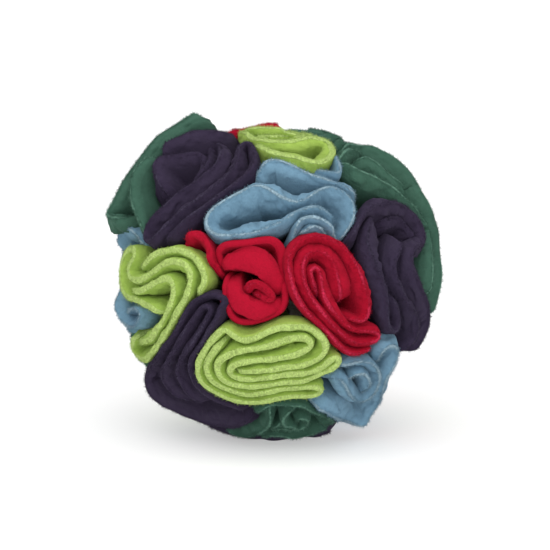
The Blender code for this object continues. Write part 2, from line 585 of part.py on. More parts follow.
def pinch_thread(name, axis, centre):
    """The thread wound round a rosette's stem, just above the cover."""
    matrix = tack_matrix(axis)
    mesh = bmesh.new()
    ring_radius = STEM_RADIUS + TOUCH_GAP + PINCH_THREAD_RADIUS
    corner_radius = ring_radius / math.cos(math.pi / PINCH_THREAD_STEPS)
    height = PINCH_THREAD_RADIUS + TOUCH_GAP + ring_radius**2 / (2 * COVER_RADIUS)
    circles = []
    for i in range(PINCH_THREAD_STEPS):
        angle = 2 * math.pi * i / PINCH_THREAD_STEPS
        circle = []
        for k in range(PINCH_THREAD_SIDES):
            around = 2 * math.pi * k / PINCH_THREAD_SIDES
            radius = corner_radius + PINCH_THREAD_RADIUS * math.cos(around)
            circle.append(mesh.verts.new((radius * math.cos(angle), radius * math.sin(angle),
                                          height + PINCH_THREAD_RADIUS * math.sin(around))))
        circles.append(circle)
    for i in range(PINCH_THREAD_STEPS):
        here = circles[i]
        there = circles[(i + 1) % PINCH_THREAD_STEPS]
        for k in range(PINCH_THREAD_SIDES):
            n = (k + 1) % PINCH_THREAD_SIDES
            mesh.faces.new((here[k], here[n], there[n], there[k]))
    return place(name, mesh, centre, matrix, THREAD, THREAD_ROUGHNESS)


def turned(profile, closed_profile):
    """A profile of (radius, height) turned round Z; ends on the axis close to a point."""
    mesh = bmesh.new()
    rings = []
    for radius, height in profile:
        if radius == 0.0:
            rings.append([mesh.verts.new((0.0, 0.0, height))])
            continue
        angles = [2 * math.pi * i / CORE_SEGMENTS for i in range(CORE_SEGMENTS)]
        rings.append([mesh.verts.new((radius * math.cos(a), radius * math.sin(a), height)) for a in angles])
    pairs = list(zip(rings, rings[1:]))
    if closed_profile:
        pairs.append((rings[-1], rings[0]))
    for here, there in pairs:
        for i in range(CORE_SEGMENTS):
            n = (i + 1) % CORE_SEGMENTS
            corners = [here[i % len(here)], here[n % len(here)], there[n % len(there)], there[i % len(there)]]
            unique = list(dict.fromkeys(corners))
            if len(unique) > 2:
                mesh.faces.new(unique)
    return mesh


def arc(radius, start, end, steps):
    """Points (radius, height) on a circle round the core's middle, from one angle above level to another."""
    points = []
    for i in range(steps + 1):
        angle = start + (end - start) * i / steps
        points.append((radius * math.cos(angle), radius * math.sin(angle)))
    return [(0.0 if abs(x) < radius * ZERO_SHARE else x, z) for x, z in points]


def half_cover(name, upward, centre):
    """Half of the core's cover: a cup whose rim is turned in as the seam allowance."""
    half_gap = TOUCH_GAP / 2
    inner = COVER_RADIUS - COVER_THICKNESS
    rim_angle = math.asin(half_gap / COVER_RADIUS)
    inner_angle = math.asin((half_gap + COVER_THICKNESS) / inner)
    profile = arc(COVER_RADIUS, QUARTER_TURN, rim_angle, CORE_RINGS)
    profile.append((inner - SEAM_ALLOWANCE, half_gap))
    profile.append((inner - SEAM_ALLOWANCE, half_gap + COVER_THICKNESS))
    profile += arc(inner, inner_angle, QUARTER_TURN, CORE_RINGS)
    if not upward:
        profile = [(x, -z) for x, z in profile]
    mesh = turned(profile, False)
    return place(name, mesh, centre, Matrix.Identity(4), CALICO, FLEECE_ROUGHNESS)


def stuffing(centre):
    """The filling: a ball with a groove where the seam allowances and their thread lie."""
    radius = COVER_RADIUS - COVER_THICKNESS - TOUCH_GAP
    groove = COVER_RADIUS - COVER_THICKNESS - SEAM_ALLOWANCE - TOUCH_GAP
    groove -= 2 * (SEAM_THREAD_RADIUS + TOUCH_GAP)
    half_height = TOUCH_GAP / 2 + COVER_THICKNESS + TOUCH_GAP
    angle = math.asin(half_height / radius)
    profile = arc(radius, QUARTER_TURN, angle, CORE_RINGS)
    profile.append((groove, half_height))
    profile.append((groove, -half_height))
    profile += arc(radius, -angle, -QUARTER_TURN, CORE_RINGS)
    mesh = turned(profile, False)
    return place("core_stuffing", mesh, centre, Matrix.Identity(4), CALICO, FLEECE_ROUGHNESS)


def seam_thread(centre):
    """The overcast seam's thread, along the raw rims of the two seam allowances."""
    middle = COVER_RADIUS - COVER_THICKNESS - SEAM_ALLOWANCE - TOUCH_GAP - SEAM_THREAD_RADIUS
    profile = []
    for k in range(SEAM_THREAD_SIDES):
        around = 2 * math.pi * k / SEAM_THREAD_SIDES
        radius = middle + SEAM_THREAD_RADIUS * math.cos(around)
        profile.append((radius, SEAM_THREAD_RADIUS * math.sin(around)))
    mesh = turned(profile, True)
    return place("core_seam_thread", mesh, centre, Matrix.Identity(4), THREAD, THREAD_ROUGHNESS)


def all_rosettes():
    """Name, colour, tack direction and settled edge lines of every rosette."""
    fixed, free = spread_directions()
    entries = []
    drawn = []
    for (name, colour, _, lines_px, *_), axis in zip(FRONT_ROSETTES, fixed):
        lines = [traced_line(points) for points in lines_px]
        drawn += [line[0] for line in lines]
        entries.append((name, colour, axis, lines))
    drawn = np.concatenate(drawn)
    for k, (_, _, _, _, folds, height) in enumerate(FRONT_ROSETTES):
        if folds:
            others = np.concatenate([fixed[:k], fixed[k + 1:], free])
            entries[k][3].append(ruffle_line(fixed[k], others, drawn, folds, math.pi, height, AWAY_SECTOR))
    for k, ((name, colour, _, folds, turn, height), axis) in enumerate(zip(HIDDEN_ROSETTES, free)):
        others = np.concatenate([fixed, free[:k], free[k + 1:]])
        line = ruffle_line(axis, others, drawn, folds, turn, height, 2 * math.pi)
        entries.append((name, colour, axis, [line]))
    settled = settle([line for entry in entries for line in entry[3]])
    done = []
    for name, colour, axis, lines in entries:
        done.append((name, colour, axis, settled[:len(lines)]))
        settled = settled[len(lines):]
    return done


def main():
    for item in list(bpy.data.objects):
        bpy.data.objects.remove(item, do_unlink=True)
    centre = bpy.data.objects.new("ball_centre", None)
    centre.location = (CENTRE_RIGHT, 0.0, CENTRE_HEIGHT)
    bpy.context.scene.collection.objects.link(centre)
    stuffing(centre)
    half_cover("core_cover_upper", True, centre)
    half_cover("core_cover_lower", False, centre)
    seam_thread(centre)
    for name, colour, axis, lines in all_rosettes():
        rosette(name, colour, axis, lines, centre)
        pinch_thread(name.replace("rosette", "pinch_thread"), axis, centre)
    bpy.context.view_layer.update()


main()
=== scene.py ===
"""A foraging ball for a small pet, dressed in fleece.

The ball is a stuffed core with fleece rosettes tacked all over it. Each rosette is a square of fleece,
pinched in its middle, whose four cut edges fold up into the wavy lines that show on the outside. This file
makes the stage, the core, the pinch threads and every rosette over the ball's fixed frame. Lengths are
metres, +Z is up and the photographed side faces -Y.
"""

import math
from typing import NamedTuple

import bpy
import bmesh
import numpy as np
from bpy.props import FloatProperty, FloatVectorProperty, IntProperty, PointerProperty
from mathutils import Matrix, Vector


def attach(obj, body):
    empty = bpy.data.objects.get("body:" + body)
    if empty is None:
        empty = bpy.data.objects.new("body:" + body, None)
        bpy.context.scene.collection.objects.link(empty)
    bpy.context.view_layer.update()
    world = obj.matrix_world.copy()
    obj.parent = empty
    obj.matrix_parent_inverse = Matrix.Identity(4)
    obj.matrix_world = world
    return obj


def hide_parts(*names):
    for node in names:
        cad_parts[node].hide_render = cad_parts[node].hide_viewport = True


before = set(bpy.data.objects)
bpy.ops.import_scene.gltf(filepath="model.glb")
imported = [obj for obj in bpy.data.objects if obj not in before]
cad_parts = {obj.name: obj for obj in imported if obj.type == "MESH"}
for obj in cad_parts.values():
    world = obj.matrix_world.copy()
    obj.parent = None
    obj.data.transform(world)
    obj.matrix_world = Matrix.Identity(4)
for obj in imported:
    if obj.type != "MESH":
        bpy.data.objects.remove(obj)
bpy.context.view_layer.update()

bl_info = {
    "name": "Fleece foraging ball",
    "version": (1, 0, 0),
    "blender": (4, 5, 0),
    "location": "View3D > Sidebar > Foraging ball",
    "description": "Makes a foraging ball of pinched fleece rosettes on a stuffed core, with its stage",
    "category": "Object",
}

# The ball and its core, as the solids have them. FOLD_RADIUS is from the ball's middle to the cut edges,
# REST_CUT_DEPTH how much of the lowest folds the floor presses flat, FOLD_CLEARANCE the air between folds.
FOLD_RADIUS = 0.068
CENTRE = Vector((0.0018, 0.0, 0.0652))
REST_CUT_DEPTH = 0.0005
COVER_RADIUS = 0.026
COVER_THICKNESS = 0.0012
COVER_INSIDE = COVER_RADIUS - COVER_THICKNESS
SEAM_ALLOWANCE = 0.0045
TOUCH_GAP = 0.0003
STEM_RADIUS = 0.0052
STEM_LENGTH = 0.007
FLEECE_THICKNESS = 0.0021
FOLD_CLEARANCE = 0.001

# How the edge lines are worked out: the step between their points, the rounds in which points that are too
# near push each other apart, after how many rounds the near pairs are looked for again, and how much of
# each push, smoothing and pull back one round takes
EDGE_STEP = 0.0022
CURVE_PARTS = 8
SETTLE_ROUNDS = 60
PAIR_ROUNDS = 6
PUSH_SHARE = 0.45
CROWD_SHARE = 0.25
SMOOTH_SHARE = 0.10
HOLD_SHARE = 0.03
NEAR_REACH_SHARE = 1.7
QUARTER_TURN = math.pi / 2
ZERO_SHARE = 1e-6

# How the cloth runs along its edge lines: its step, and the dive and narrowing of a line's open ends
CLOTH_STEP = 0.00105
DIVE_LENGTH = 0.0065
DIVE_DEPTH = 0.0085
END_SPAN = 3
END_WIDTH_SHARE = 0.45

# The room a fold has on each side: how far a face leans out where nothing is near, the least it gets, how
# deep neighbours press into each other, how much of its own line it looks past, the cone it looks into,
# which points it looks at, and how many points of its line the room is evened out over
FACE_REACH = 0.0150
LEAST_ROOM = 0.00012
MEET_DEPTH = 0.0004
OWN_SKIP = 0.0042
SIDE_CONE_SHARE = 0.62
OTHER_STRIDE = 2
OWN_STRIDE = 8
SEARCH_SHARE = 2.5
SMOOTH_REACH = 3
LOOP_SMOOTH_REACH = 1

# A fold's section: the rounded crown of its cut edge, its two faces, which hang deeper where the room is
# narrow, and the foot where they run together at the stem
EDGE_SPARE = 0.0001
CROWN_DEPTH = 0.0009
CROWN_ROWS = 7
CROWN_TURN = math.radians(78)
CUT_SPREAD = 1.15
FACE_ROWS = 10
FACE_BELLY = 0.95
NARROW_DEPTH = 0.0095
WIDE_DEPTH = 0.0065
DEPTH_CHANGE = 0.0035
LEAST_DEPTH = 0.0009
PINCH_SHARES = (0.35, 0.75)
PINCH_DEPTH = 0.004
PINCH_FOLD = 0.0004

# Unevenness, as depths and lengths of waves: the edge swells, lifts and shifts, its gathers run down the
# faces, and the faces have flutes and wrinkles. Faces with little room have less of them.
WAVE_ROOM = 0.003
WAVE_SHARES = (0.1, 1.6)
WAVE_FALL = 1.1
EDGE_SWELL_SHARE = 0.14
EDGE_WAVE = 0.0004
EDGE_WAVE_LENGTH = 0.013
EDGE_SHIFT = 0.0004
GATHER_DEPTH = 0.0006
GATHER_LENGTH = 0.012
FLUTE_DEPTH = 0.0006
FLUTE_LENGTH = 0.016
WRINKLE_DEPTH = 0.00028
WRINKLE_LENGTH = 0.0035
GATHER_POWER = 0.5

# Waves through space: how many sines one holds, the range of their pace, and the sum at which it is cut off.
# A crease is where either of two such waves passes zero. Each use along a fold has a seed of its own.
RIPPLE_SINES = 6
RIPPLE_PACE = (0.6, 1.3)
RIPPLE_LIMIT = 3
CREASE_GAIN = 1.6
CREASE_POWER = 0.7
SECOND_CREASE_SHARE = 0.7
SECOND_CREASE_LIFT = 0.25
SWELL_SEED, LIFT_SEED, FLUTE_SEED, WRINKLE_SEED, CREASE_SEED, GATHER_SEED, SHIFT_SEED = range(1, 8)
SEEDS_PER_LINE = 10

# The pinched stem, the threads and the core. The stem's profile is its radii and heights over the cover.
STEM_FLUTES = 14
STEM_FLUTE_SHARE = 0.12
STEM_STEPS = 84
STEM_PROFILE = ((0.0050, 0.0), (0.0052, 0.0006), (0.0052, 0.0038), (0.0060, 0.0056), (0.0075, 0.0075),
                (0.0060, 0.0090))
PINCH_THREAD_RADIUS = 0.0006
SEAM_THREAD_RADIUS = 0.0006
STITCH_HEIGHT = 0.0024
STITCH_SLANT = 0.9
COVER_SEGMENTS = 144
COVER_ARC_STEPS = 20
SEAM_GATHERS = 36
SEAM_GATHER_SHARE = 0.006
SEAM_GATHER_REACH = 0.004
FILLING_SEGMENTS = 72
FILLING_ARC_STEPS = 18
LUMP_SHARE = 0.006
LUMP_WAVES = ((5, 140.0), (3, -210.0))
NEARLY_UPRIGHT_SHARE = 0.9

# The stage. Lights: name, the setting of their strength, turn, rise over level and spread, in degrees.
FLOOR_RADIUS = 9.0
FLOOR_SEGMENTS = 96
FLOOR_GRAIN = 0.4
FLOOR_TONE = (0.02, 0.61)
LIGHTS = (("main_light", "key_strength", -8, 70, 80), ("front_light", "fill_strength", 10, 16, 80))
SENSOR_WIDTH = 36.0

# Materials: what every cloth and thread shares, then the sizes of their grains. A tone is how much a grain
# changes the colour and the share it leaves at least; a roughness is put together in the same way.
CLOTH_SPECULAR = 0.15
SHEEN_ROUGHNESS = 0.45
CLUMP_SIZE = 0.0032
CLUMP_TONE = (0.26, 0.87)
DRIFT_SIZE = 0.013
DRIFT_TONE = (0.20, 0.90)
NAP_TONE = (0.30, 0.85)
SPECKLE_SIZE = 0.0009
SPECKLE_TONE = (1.20, 0.40)
RIB_TONE = (0.14, 0.92)
LINT_SIZE = 0.0011
LINT_TONE = (0.2, 0.9)
WEAVE_TONE = (0.3, 0.8)
FLUFF_SIZE = 0.006
FLUFF_TONE = (0.16, 0.92)
STRAND_TONE = (0.5, 0.72)
FLEECE_ROUGHNESS = (0.14, 0.84)
CALICO_ROUGHNESS = (0.2, 0.75)
THREAD_ROUGHNESS = (0.2, 0.62)

# Where the cut edge's colour, partly painted highlight, ends, how far its ribs wander, and how high each
# grain stands in the bumps
CUT_NAP_SHARE = 0.8
CUT_DRIFT_SHARE = 0.9
CUT_FADE = 0.3
RIB_WANDER = 4.0
NAP_HEIGHT = 0.55
CLUMP_HEIGHT = 0.8
RIB_HEIGHT = 0.15
SPECKLE_HEIGHT = 0.9
LINT_HEIGHT = 0.3

# Threads and loose fibres: their sides, how they keep to the middle of the cut edge, and their least and
# greatest size
THREAD_SIDES = 6
FIBRE_SIDES = 3
FIBRE_CUT_POWER = 1.5
FIBRE_SIZES = (0.5, 1.2)
FIBRE_TILT_SEED = 3
FIBRE_SIZE_SEED = 5
SHADER_OUTPUTS = {"Colour": "NodeSocketColor", "Height": "NodeSocketFloat", "Roughness": "NodeSocketFloat"}

# The photograph's view: its size, the ball's middle and its fold radius in pixels, the view's tilt from
# level, the height share of edges at the top, and how near to the outline a point may lie
PHOTO_SIZE_PX = 550
PHOTO_MIDDLE_PX = (278, 280)
PHOTO_RADIUS_PX = 162
VIEW_TILT = math.radians(12)
TOP_HEIGHT_SHARE = 0.965
LIMB_SHARE = 0.992

# Edge lines of the front rosettes, in photograph pixels. A third number is the height share of a point
# whose edge stands higher or lower than the fold radius.
NAVY_UPPER_PX = [
    [(157, 178, 1.06), (153, 166, 1.10), (160, 157, 1.10), (176, 155, 1.06), (191, 154, 1.03),
     (201, 153, 1.01), (207, 160), (203, 169, 0.97)],
    [(196, 182, 0.97), (204, 171, 0.98), (209, 158), (210, 147), (216, 142), (221, 149), (219, 160),
     (211, 170), (200, 179), (187, 189), (172, 200), (158, 213), (148, 226), (144, 238), (151, 243),
     (160, 233), (172, 220), (186, 209), (201, 198), (215, 188), (228, 178), (236, 168), (239, 156),
     (239, 146), (246, 140), (254, 147), (256, 160), (251, 171), (241, 180), (229, 189), (215, 199),
     (202, 209), (189, 219), (177, 230), (168, 240, 0.98)],
    [(163, 147, 1.13), (174, 140, 1.12), (187, 134, 1.10), (202, 131, 1.07), (218, 132, 1.03), (231, 134)],
]
GREEN_UPPER_PX = [
    [(201, 123, 1.07), (199, 112, 1.16), (185, 118, 1.14), (170, 128, 1.14), (157, 138, 1.14),
     (143, 154, 1.14), (131, 170, 1.14), (120, 188, 1.14), (112, 204, 1.14), (106, 217, 1.14),
     (115, 218, 1.11), (126, 219, 1.05), (134, 220, 0.99)],
    [(146, 158, 1.14), (138, 166, 1.15), (132, 178, 1.15), (130, 191, 1.12), (133, 204, 1.09),
     (138, 217, 1.05), (141, 227, 1.02)],
]
LIME_TOP_PX = [
    [(256, 145, 0.96), (264, 150), (273, 153), (291, 157), (307, 162), (320, 165), (329, 159), (333, 149),
     (329, 141), (316, 138), (302, 140), (286, 142), (270, 143), (257, 140), (247, 135), (241, 130, 0.95)],
    [(245, 130, 0.95), (257, 128), (269, 128), (281, 129), (291, 133, 0.94)],
]
BLUE_UPPER_PX = [
    [(346, 236, 0.95), (353, 222), (354, 209), (348, 198), (337, 189), (326, 187), (315, 194), (303, 202),
     (291, 203), (280, 198), (270, 190), (260, 186), (248, 188), (236, 195), (223, 203), (212, 211),
     (205, 221), (209, 232), (221, 237), (237, 237), (254, 234), (270, 229), (283, 223), (293, 215),
     (303, 210), (315, 208), (325, 210, 0.98), (331, 216, 0.97)],
    [(293, 236, 0.95), (294, 226), (301, 218), (313, 217), (325, 221), (332, 229), (334, 237, 0.95)],
    [(304, 232, 0.95), (306, 227, 0.97), (314, 225, 0.97), (322, 228, 0.96), (326, 233, 0.94)],
    [(258, 174, 0.94), (265, 164), (275, 160), (289, 165), (303, 172), (317, 179), (332, 185), (345, 188),
     (354, 192, 0.97)],
    [(334, 156), (339, 165), (341, 175), (331, 175), (318, 170, 0.95)],
]
RED_LEFT_PX = [
    [(187, 247, 0.94), (190, 236), (198, 232), (205, 239), (210, 249), (213, 260), (218, 270, 0.94)],
    [(218, 264, 0.94), (216, 251, 0.965), (226, 244, 0.98), (243, 243, 0.98), (259, 240, 0.98),
     (273, 238, 0.98), (281, 246, 0.96), (282, 258, 0.94), (283, 271, 0.93), (284, 284, 0.93),
     (286, 298, 0.93), (283, 309, 0.935), (271, 316, 0.94), (257, 320, 0.94), (244, 323, 0.94),
     (233, 319, 0.945), (227, 307, 0.95), (225, 291, 0.95), (227, 279, 0.94)],
    [(224, 264, 0.955), (237, 260, 0.965), (250, 259, 0.975), (262, 262, 0.98), (271, 271, 0.98),
     (279, 288, 0.95)],
    [(247, 291, 0.955), (248, 285, 0.97), (254, 281, 0.975), (262, 284, 0.98), (270, 292, 0.985),
     (277, 300, 0.98), (270, 301, 0.975), (262, 297, 0.97), (257, 294, 0.955)],
    [(230, 283, 0.95), (234, 296, 0.965), (244, 306, 0.97), (257, 310, 0.97), (270, 309, 0.965),
     (280, 305, 0.94)],
]
RED_RIGHT_PX = [
    [(352, 318), (360, 324), (367, 317), (367, 302), (363, 285), (357, 270), (350, 257), (341, 247),
     (329, 240), (316, 237), (303, 239), (293, 246), (286, 258), (286, 272), (290, 286), (298, 300),
     (308, 313), (320, 325), (332, 338), (343, 349), (356, 354), (368, 349)],
    [(339, 296, 0.97), (338, 282), (336, 268), (330, 256), (320, 250), (309, 251), (302, 260), (301, 273),
     (305, 287), (312, 300), (321, 312), (332, 324), (343, 335), (356, 342), (371, 341), (381, 335),
     (370, 331), (355, 331), (344, 324), (334, 313), (326, 301), (321, 288), (319, 274), (315, 264),
     (309, 269), (311, 282), (316, 293, 0.97)],
]
NAVY_RIGHT_PX = [
    [(348, 238, 0.97), (354, 226), (364, 214), (378, 206), (392, 202), (405, 206), (415, 216), (423, 228),
     (426, 240), (420, 246), (412, 250), (410, 262), (414, 275), (420, 288), (426, 300), (429, 314),
     (428, 328), (423, 340), (416, 350)],
    [(371, 218, 0.98), (366, 230), (366, 244), (370, 257), (376, 270), (382, 283), (386, 297), (386, 311),
     (387, 324), (392, 335), (399, 327), (398, 313), (393, 298, 0.98)],
    [(402, 244, 0.97), (396, 254), (393, 267), (395, 281), (401, 293), (409, 304), (415, 316), (418, 329),
     (413, 341), (405, 350, 0.98)],
    [(384, 219, 0.93), (397, 217, 0.93), (408, 226, 0.93), (414, 237, 0.95)],
]
GREEN_RIGHT_PX = [
    [(349, 146, 0.98), (360, 144), (372, 145), (384, 151), (396, 159), (408, 171), (420, 187), (430, 206),
     (436, 226), (439, 246), (441, 266), (440, 284), (437, 299), (432, 313)],
    [(343, 163), (352, 168), (363, 173), (375, 178), (387, 184), (399, 192), (409, 203), (418, 213),
     (427, 224), (431, 238), (432, 256), (432, 274), (431, 291)],
    [(364, 157, 0.97), (374, 162), (386, 171), (398, 181), (410, 193), (421, 207), (430, 221),
     (436, 236, 0.97)],
    [(343, 153), (350, 149, 0.97), (357, 151, 0.95)],
]
LIME_LEFT_PX = [
    [(158, 312), (149, 305), (138, 301), (127, 297), (121, 284), (120, 268), (124, 253), (132, 246),
     (136, 254), (129, 265), (128, 276), (136, 281), (146, 278), (155, 271), (165, 264), (177, 260),
     (188, 265), (193, 277), (190, 291), (183, 305), (174, 320), (165, 335), (155, 349), (146, 359),
     (137, 357), (131, 347), (133, 339)],
    [(142, 268, 0.96), (151, 259), (162, 252), (175, 249), (188, 252), (199, 260), (206, 272), (207, 284),
     (200, 293)],
    [(133, 289), (143, 291), (154, 285), (165, 277), (174, 279), (177, 290), (173, 303), (166, 317),
     (157, 331), (148, 341), (139, 342, 0.98)],
]
NAVY_LOWER_PX = [
    [(250, 422), (234, 426), (217, 426), (199, 422), (180, 415), (163, 405), (149, 393), (144, 379),
     (151, 365), (162, 351), (172, 337), (180, 323), (188, 310), (197, 299), (209, 293), (220, 295),
     (224, 305), (219, 317), (211, 329), (203, 341), (195, 353), (189, 366), (192, 379), (200, 390),
     (213, 398), (229, 403), (243, 409)],
    [(188, 401, 0.97), (176, 396), (165, 386), (162, 373), (168, 359), (178, 344), (188, 328), (197, 313),
     (207, 303), (214, 308), (208, 320), (200, 333), (191, 346), (182, 358), (177, 371), (181, 384),
     (190, 395), (200, 403, 0.97)],
]
LIME_LOWER_PX = [
    [(239, 371, 0.98), (255, 370), (276, 368), (299, 365), (315, 360), (325, 351), (326, 341), (317, 331),
     (303, 325), (286, 325), (270, 330), (257, 338), (245, 341), (234, 336), (227, 326), (221, 329),
     (212, 340), (203, 351), (198, 363), (199, 376), (207, 388), (221, 395), (237, 400), (251, 403),
     (268, 399), (290, 395), (308, 396), (321, 393), (321, 386), (301, 386), (282, 388), (266, 391),
     (250, 394), (233, 391), (217, 385), (208, 375), (207, 363), (213, 352), (220, 344)],
    [(238, 350), (254, 349), (270, 345), (285, 338), (300, 335), (314, 340), (312, 348), (297, 353),
     (279, 357), (256, 360), (234, 362), (227, 370), (234, 377), (253, 378), (277, 375), (302, 373),
     (320, 368), (331, 359), (339, 353), (338, 361), (326, 371), (305, 379), (278, 382), (253, 386),
     (232, 384), (219, 377), (218, 364), (224, 354), (238, 350)],
]
BLUE_LOWER_PX = [
    [(309, 402, 0.97), (320, 409), (333, 416), (348, 422), (363, 426), (371, 416), (378, 404), (383, 391),
     (386, 377), (394, 364), (398, 350), (390, 343), (381, 348), (378, 359, 0.97)],
    [(343, 365), (355, 360), (367, 360), (376, 367), (379, 379), (375, 391), (366, 400), (357, 402),
     (350, 393), (343, 382), (334, 374), (325, 376, 0.97)],
    [(348, 380, 0.95), (355, 371), (365, 372), (368, 383), (361, 392, 0.95)],
]
BLUE_LIMB_PX = [
    [(140, 241, 0.95), (137, 231, 0.99), (128, 226, 1.02), (119, 230, 1.03), (117, 243, 1.0)],
    [(118, 292), (115, 305), (119, 318), (129, 327), (138, 323), (143, 314), (137, 308), (128, 312, 0.97)],
]
GREEN_BOTTOM_PX = [
    [(257, 411), (268, 405), (282, 402), (297, 403), (310, 408), (323, 415), (336, 420), (324, 425, 0.98)],
    [(296, 421, 0.97), (302, 416), (309, 421), (303, 428), (292, 430), (283, 424), (285, 414),
     (294, 409, 0.98)],
    [(228, 432), (241, 436), (255, 435), (266, 428), (271, 419), (269, 411, 0.98)],
    [(262, 437, 0.99), (276, 434), (289, 437), (302, 437), (315, 433), (327, 430, 0.99)],
]

# Name, fleece, tack direction as shares in the view (right, up, towards the eye), edge lines, and for the
# side that faces away the number of ruffles and the height share of their cut edge
FRONT_ROSETTES = (
    ("rosette_navy_upper_left", "navy", (-0.45, 0.59, 0.67), NAVY_UPPER_PX, 0, 0.97),
    ("rosette_green_upper_left", "green", (-0.78, 0.60, -0.16), GREEN_UPPER_PX, 4, 0.97),
    ("rosette_lime_top", "lime", (0.06, 0.94, 0.32), LIME_TOP_PX, 4, 0.93),
    ("rosette_blue_upper_middle", "blue", (0.07, 0.50, 0.86), BLUE_UPPER_PX, 0, 0.97),
    ("rosette_red_left_middle", "red", (-0.25, 0.03, 0.97), RED_LEFT_PX, 0, 0.97),
    ("rosette_red_right_middle", "red", (0.30, -0.09, 0.95), RED_RIGHT_PX, 0, 0.97),
    ("rosette_navy_right", "navy", (0.74, 0.03, 0.67), NAVY_RIGHT_PX, 0, 0.97),
    ("rosette_green_right", "green", (0.93, 0.36, -0.02), GREEN_RIGHT_PX, 4, 0.97),
    ("rosette_lime_left", "lime", (-0.72, -0.10, 0.68), LIME_LEFT_PX, 0, 0.97),
    ("rosette_navy_lower_left", "navy", (-0.52, -0.56, 0.64), NAVY_LOWER_PX, 0, 0.97),
    ("rosette_lime_lower_middle", "lime", (-0.05, -0.50, 0.86), LIME_LOWER_PX, 0, 0.97),
    ("rosette_blue_lower_right", "blue", (0.50, -0.66, 0.56), BLUE_LOWER_PX, 0, 0.97),
    ("rosette_blue_left", "blue", (-0.98, -0.05, 0.10), BLUE_LIMB_PX, 4, 0.97),
    ("rosette_green_bottom", "green", (0.07, -0.92, 0.38), GREEN_BOTTOM_PX, 3, 0.97),
)
# Name, fleece, a first tack direction as shares in the view, number of ruffles, their first turn in
# radians, and the height share of the cut edge
HIDDEN_ROSETTES = (
    ("rosette_red_top_back", "red", (-0.25, 0.95, -0.10), 6, 0.4, 0.965),
    ("rosette_green_top", "green", (0.40, 0.90, 0.0), 7, 0.0, 0.965),
    ("rosette_green_lower_left", "green", (-0.90, -0.40, -0.20), 7, 1.0, 0.98),
    ("rosette_navy_base", "navy", (0.0, -0.98, -0.20), 7, 0.2, 1.0),
    ("rosette_red_lower_right", "red", (0.80, -0.55, -0.10), 7, 0.7, 0.87),
    ("rosette_lime_right_back", "lime", (0.90, -0.05, -0.45), 7, 0.3, 0.97),
    ("rosette_navy_back_upper", "navy", (0.25, 0.55, -0.80), 7, 0.9, 1.0),
    ("rosette_blue_back_upper_right", "blue", (0.72, 0.45, -0.55), 7, 0.1, 1.0),
    ("rosette_green_back_upper", "green", (-0.05, 0.80, -0.60), 7, 0.2, 0.98),
    ("rosette_lime_back_upper_left", "lime", (-0.62, 0.45, -0.65), 7, 0.6, 1.0),
    ("rosette_red_back_middle", "red", (0.35, -0.05, -0.95), 7, 0.4, 1.0),
    ("rosette_navy_back_left", "navy", (-0.75, -0.10, -0.65), 7, 0.8, 1.0),
    ("rosette_blue_back_lower", "blue", (0.45, -0.65, -0.65), 7, 0.0, 1.0),
    ("rosette_lime_back_lower_left", "lime", (-0.35, -0.60, -0.72), 7, 0.5, 1.0),
)

# For each edge line: how much of the room up to its neighbours its faces take, how deep its left and its
# right face hang, and how far it is a rolled fold instead of a cut edge
FACE_SHAPES = {
    "rosette_navy_upper_left": ((1.2, 0.7, 0.7, 0.0), (1.0, 0.65, 0.65, 0.0), (1.3, 0.7, 0.7, 0.0)),
    "rosette_lime_top": ((1.6, 0.45, 0.8, 0.0), (1.6, 0.5, 0.4, 0.0)),
    "rosette_blue_upper_middle": ((1.9, 1.2, 0.8, 0.0), (0.8, 0.6, 0.6, 0.0), (0.6, 0.4, 0.4, 0.0),
                                  (1.3, 0.6, 0.5, 0.0), (0.6, 0.5, 0.5, 0.0)),
    "rosette_red_left_middle": ((1.0, 0.7, 0.7, 0.4), (0.5, 1.0, 0.15, 1.0), (2.5, 0.15, 0.2, 2.0),
                                (1.0, 0.2, 0.2, 0.2), (3.0, 0.15, 0.2, 3.0)),
    "rosette_red_right_middle": ((0.9, 0.6, 0.6, 0.0), (1.6, 0.6, 0.45, 0.0)),
    "rosette_blue_lower_right": ((1.9, 0.7, 0.7, 0.0), (1.0, 0.6, 0.6, 0.0), (0.5, 0.5, 0.5, 0.0)),
    "rosette_navy_right": ((1.4, 0.8, 0.6, 0.0), (1.0, 0.6, 0.6, 0.0), (0.8, 0.6, 0.6, 0.0),
                           (0.6, 0.6, 0.6, 0.0)),
    "rosette_navy_lower_left": ((1.3, 0.7, 0.7, 0.0), (1.0, 0.65, 0.65, 0.0)),
    "rosette_green_upper_left": ((1.6, 0.7, 0.7, 0.0), (0.7, 0.5, 0.5, 0.0)),
    "rosette_green_right": ((1.0, 0.8, 0.8, 0.0), (1.3, 0.7, 0.7, 0.0), (0.8, 0.5, 0.5, 0.0),
                            (0.6, 0.5, 0.5, 0.0)),
}
PLAIN_SHAPE = (1.0, 1.0, 1.0, 0.0)

# The ruffles drawn round a tack direction, in shares of the room up to the neighbours, and how the tack
# directions spread. Inner ruffles: middle and wave share of the room, number of waves and height share.
INNER_RUFFLES = ((0.41, 0.13, 5, 0.97), (0.15, 0.05, 3, 0.95))
RUFFLE_POINTS = 200
RUFFLE_MIDDLE_SHARE = 0.79
RUFFLE_WAVE_SHARE = 0.18
RUFFLE_SECOND_SHARE = 0.05
RUFFLE_SWIRL_SHARE = 0.9
RUFFLE_UNEVEN_SHARE = 0.12
RUFFLE_ROOM_SHARE = 0.96
AWAY_SECTOR = math.radians(190)
SPREAD_ROUNDS = 80
SPREAD_STEP_SHARE = 0.02
DIRECTION_BINS = 72
SOFTEN_ROUNDS = 4


def unit(v):
    """Vectors scaled to length one."""
    return v / np.linalg.norm(v, axis=-1, keepdims=True)


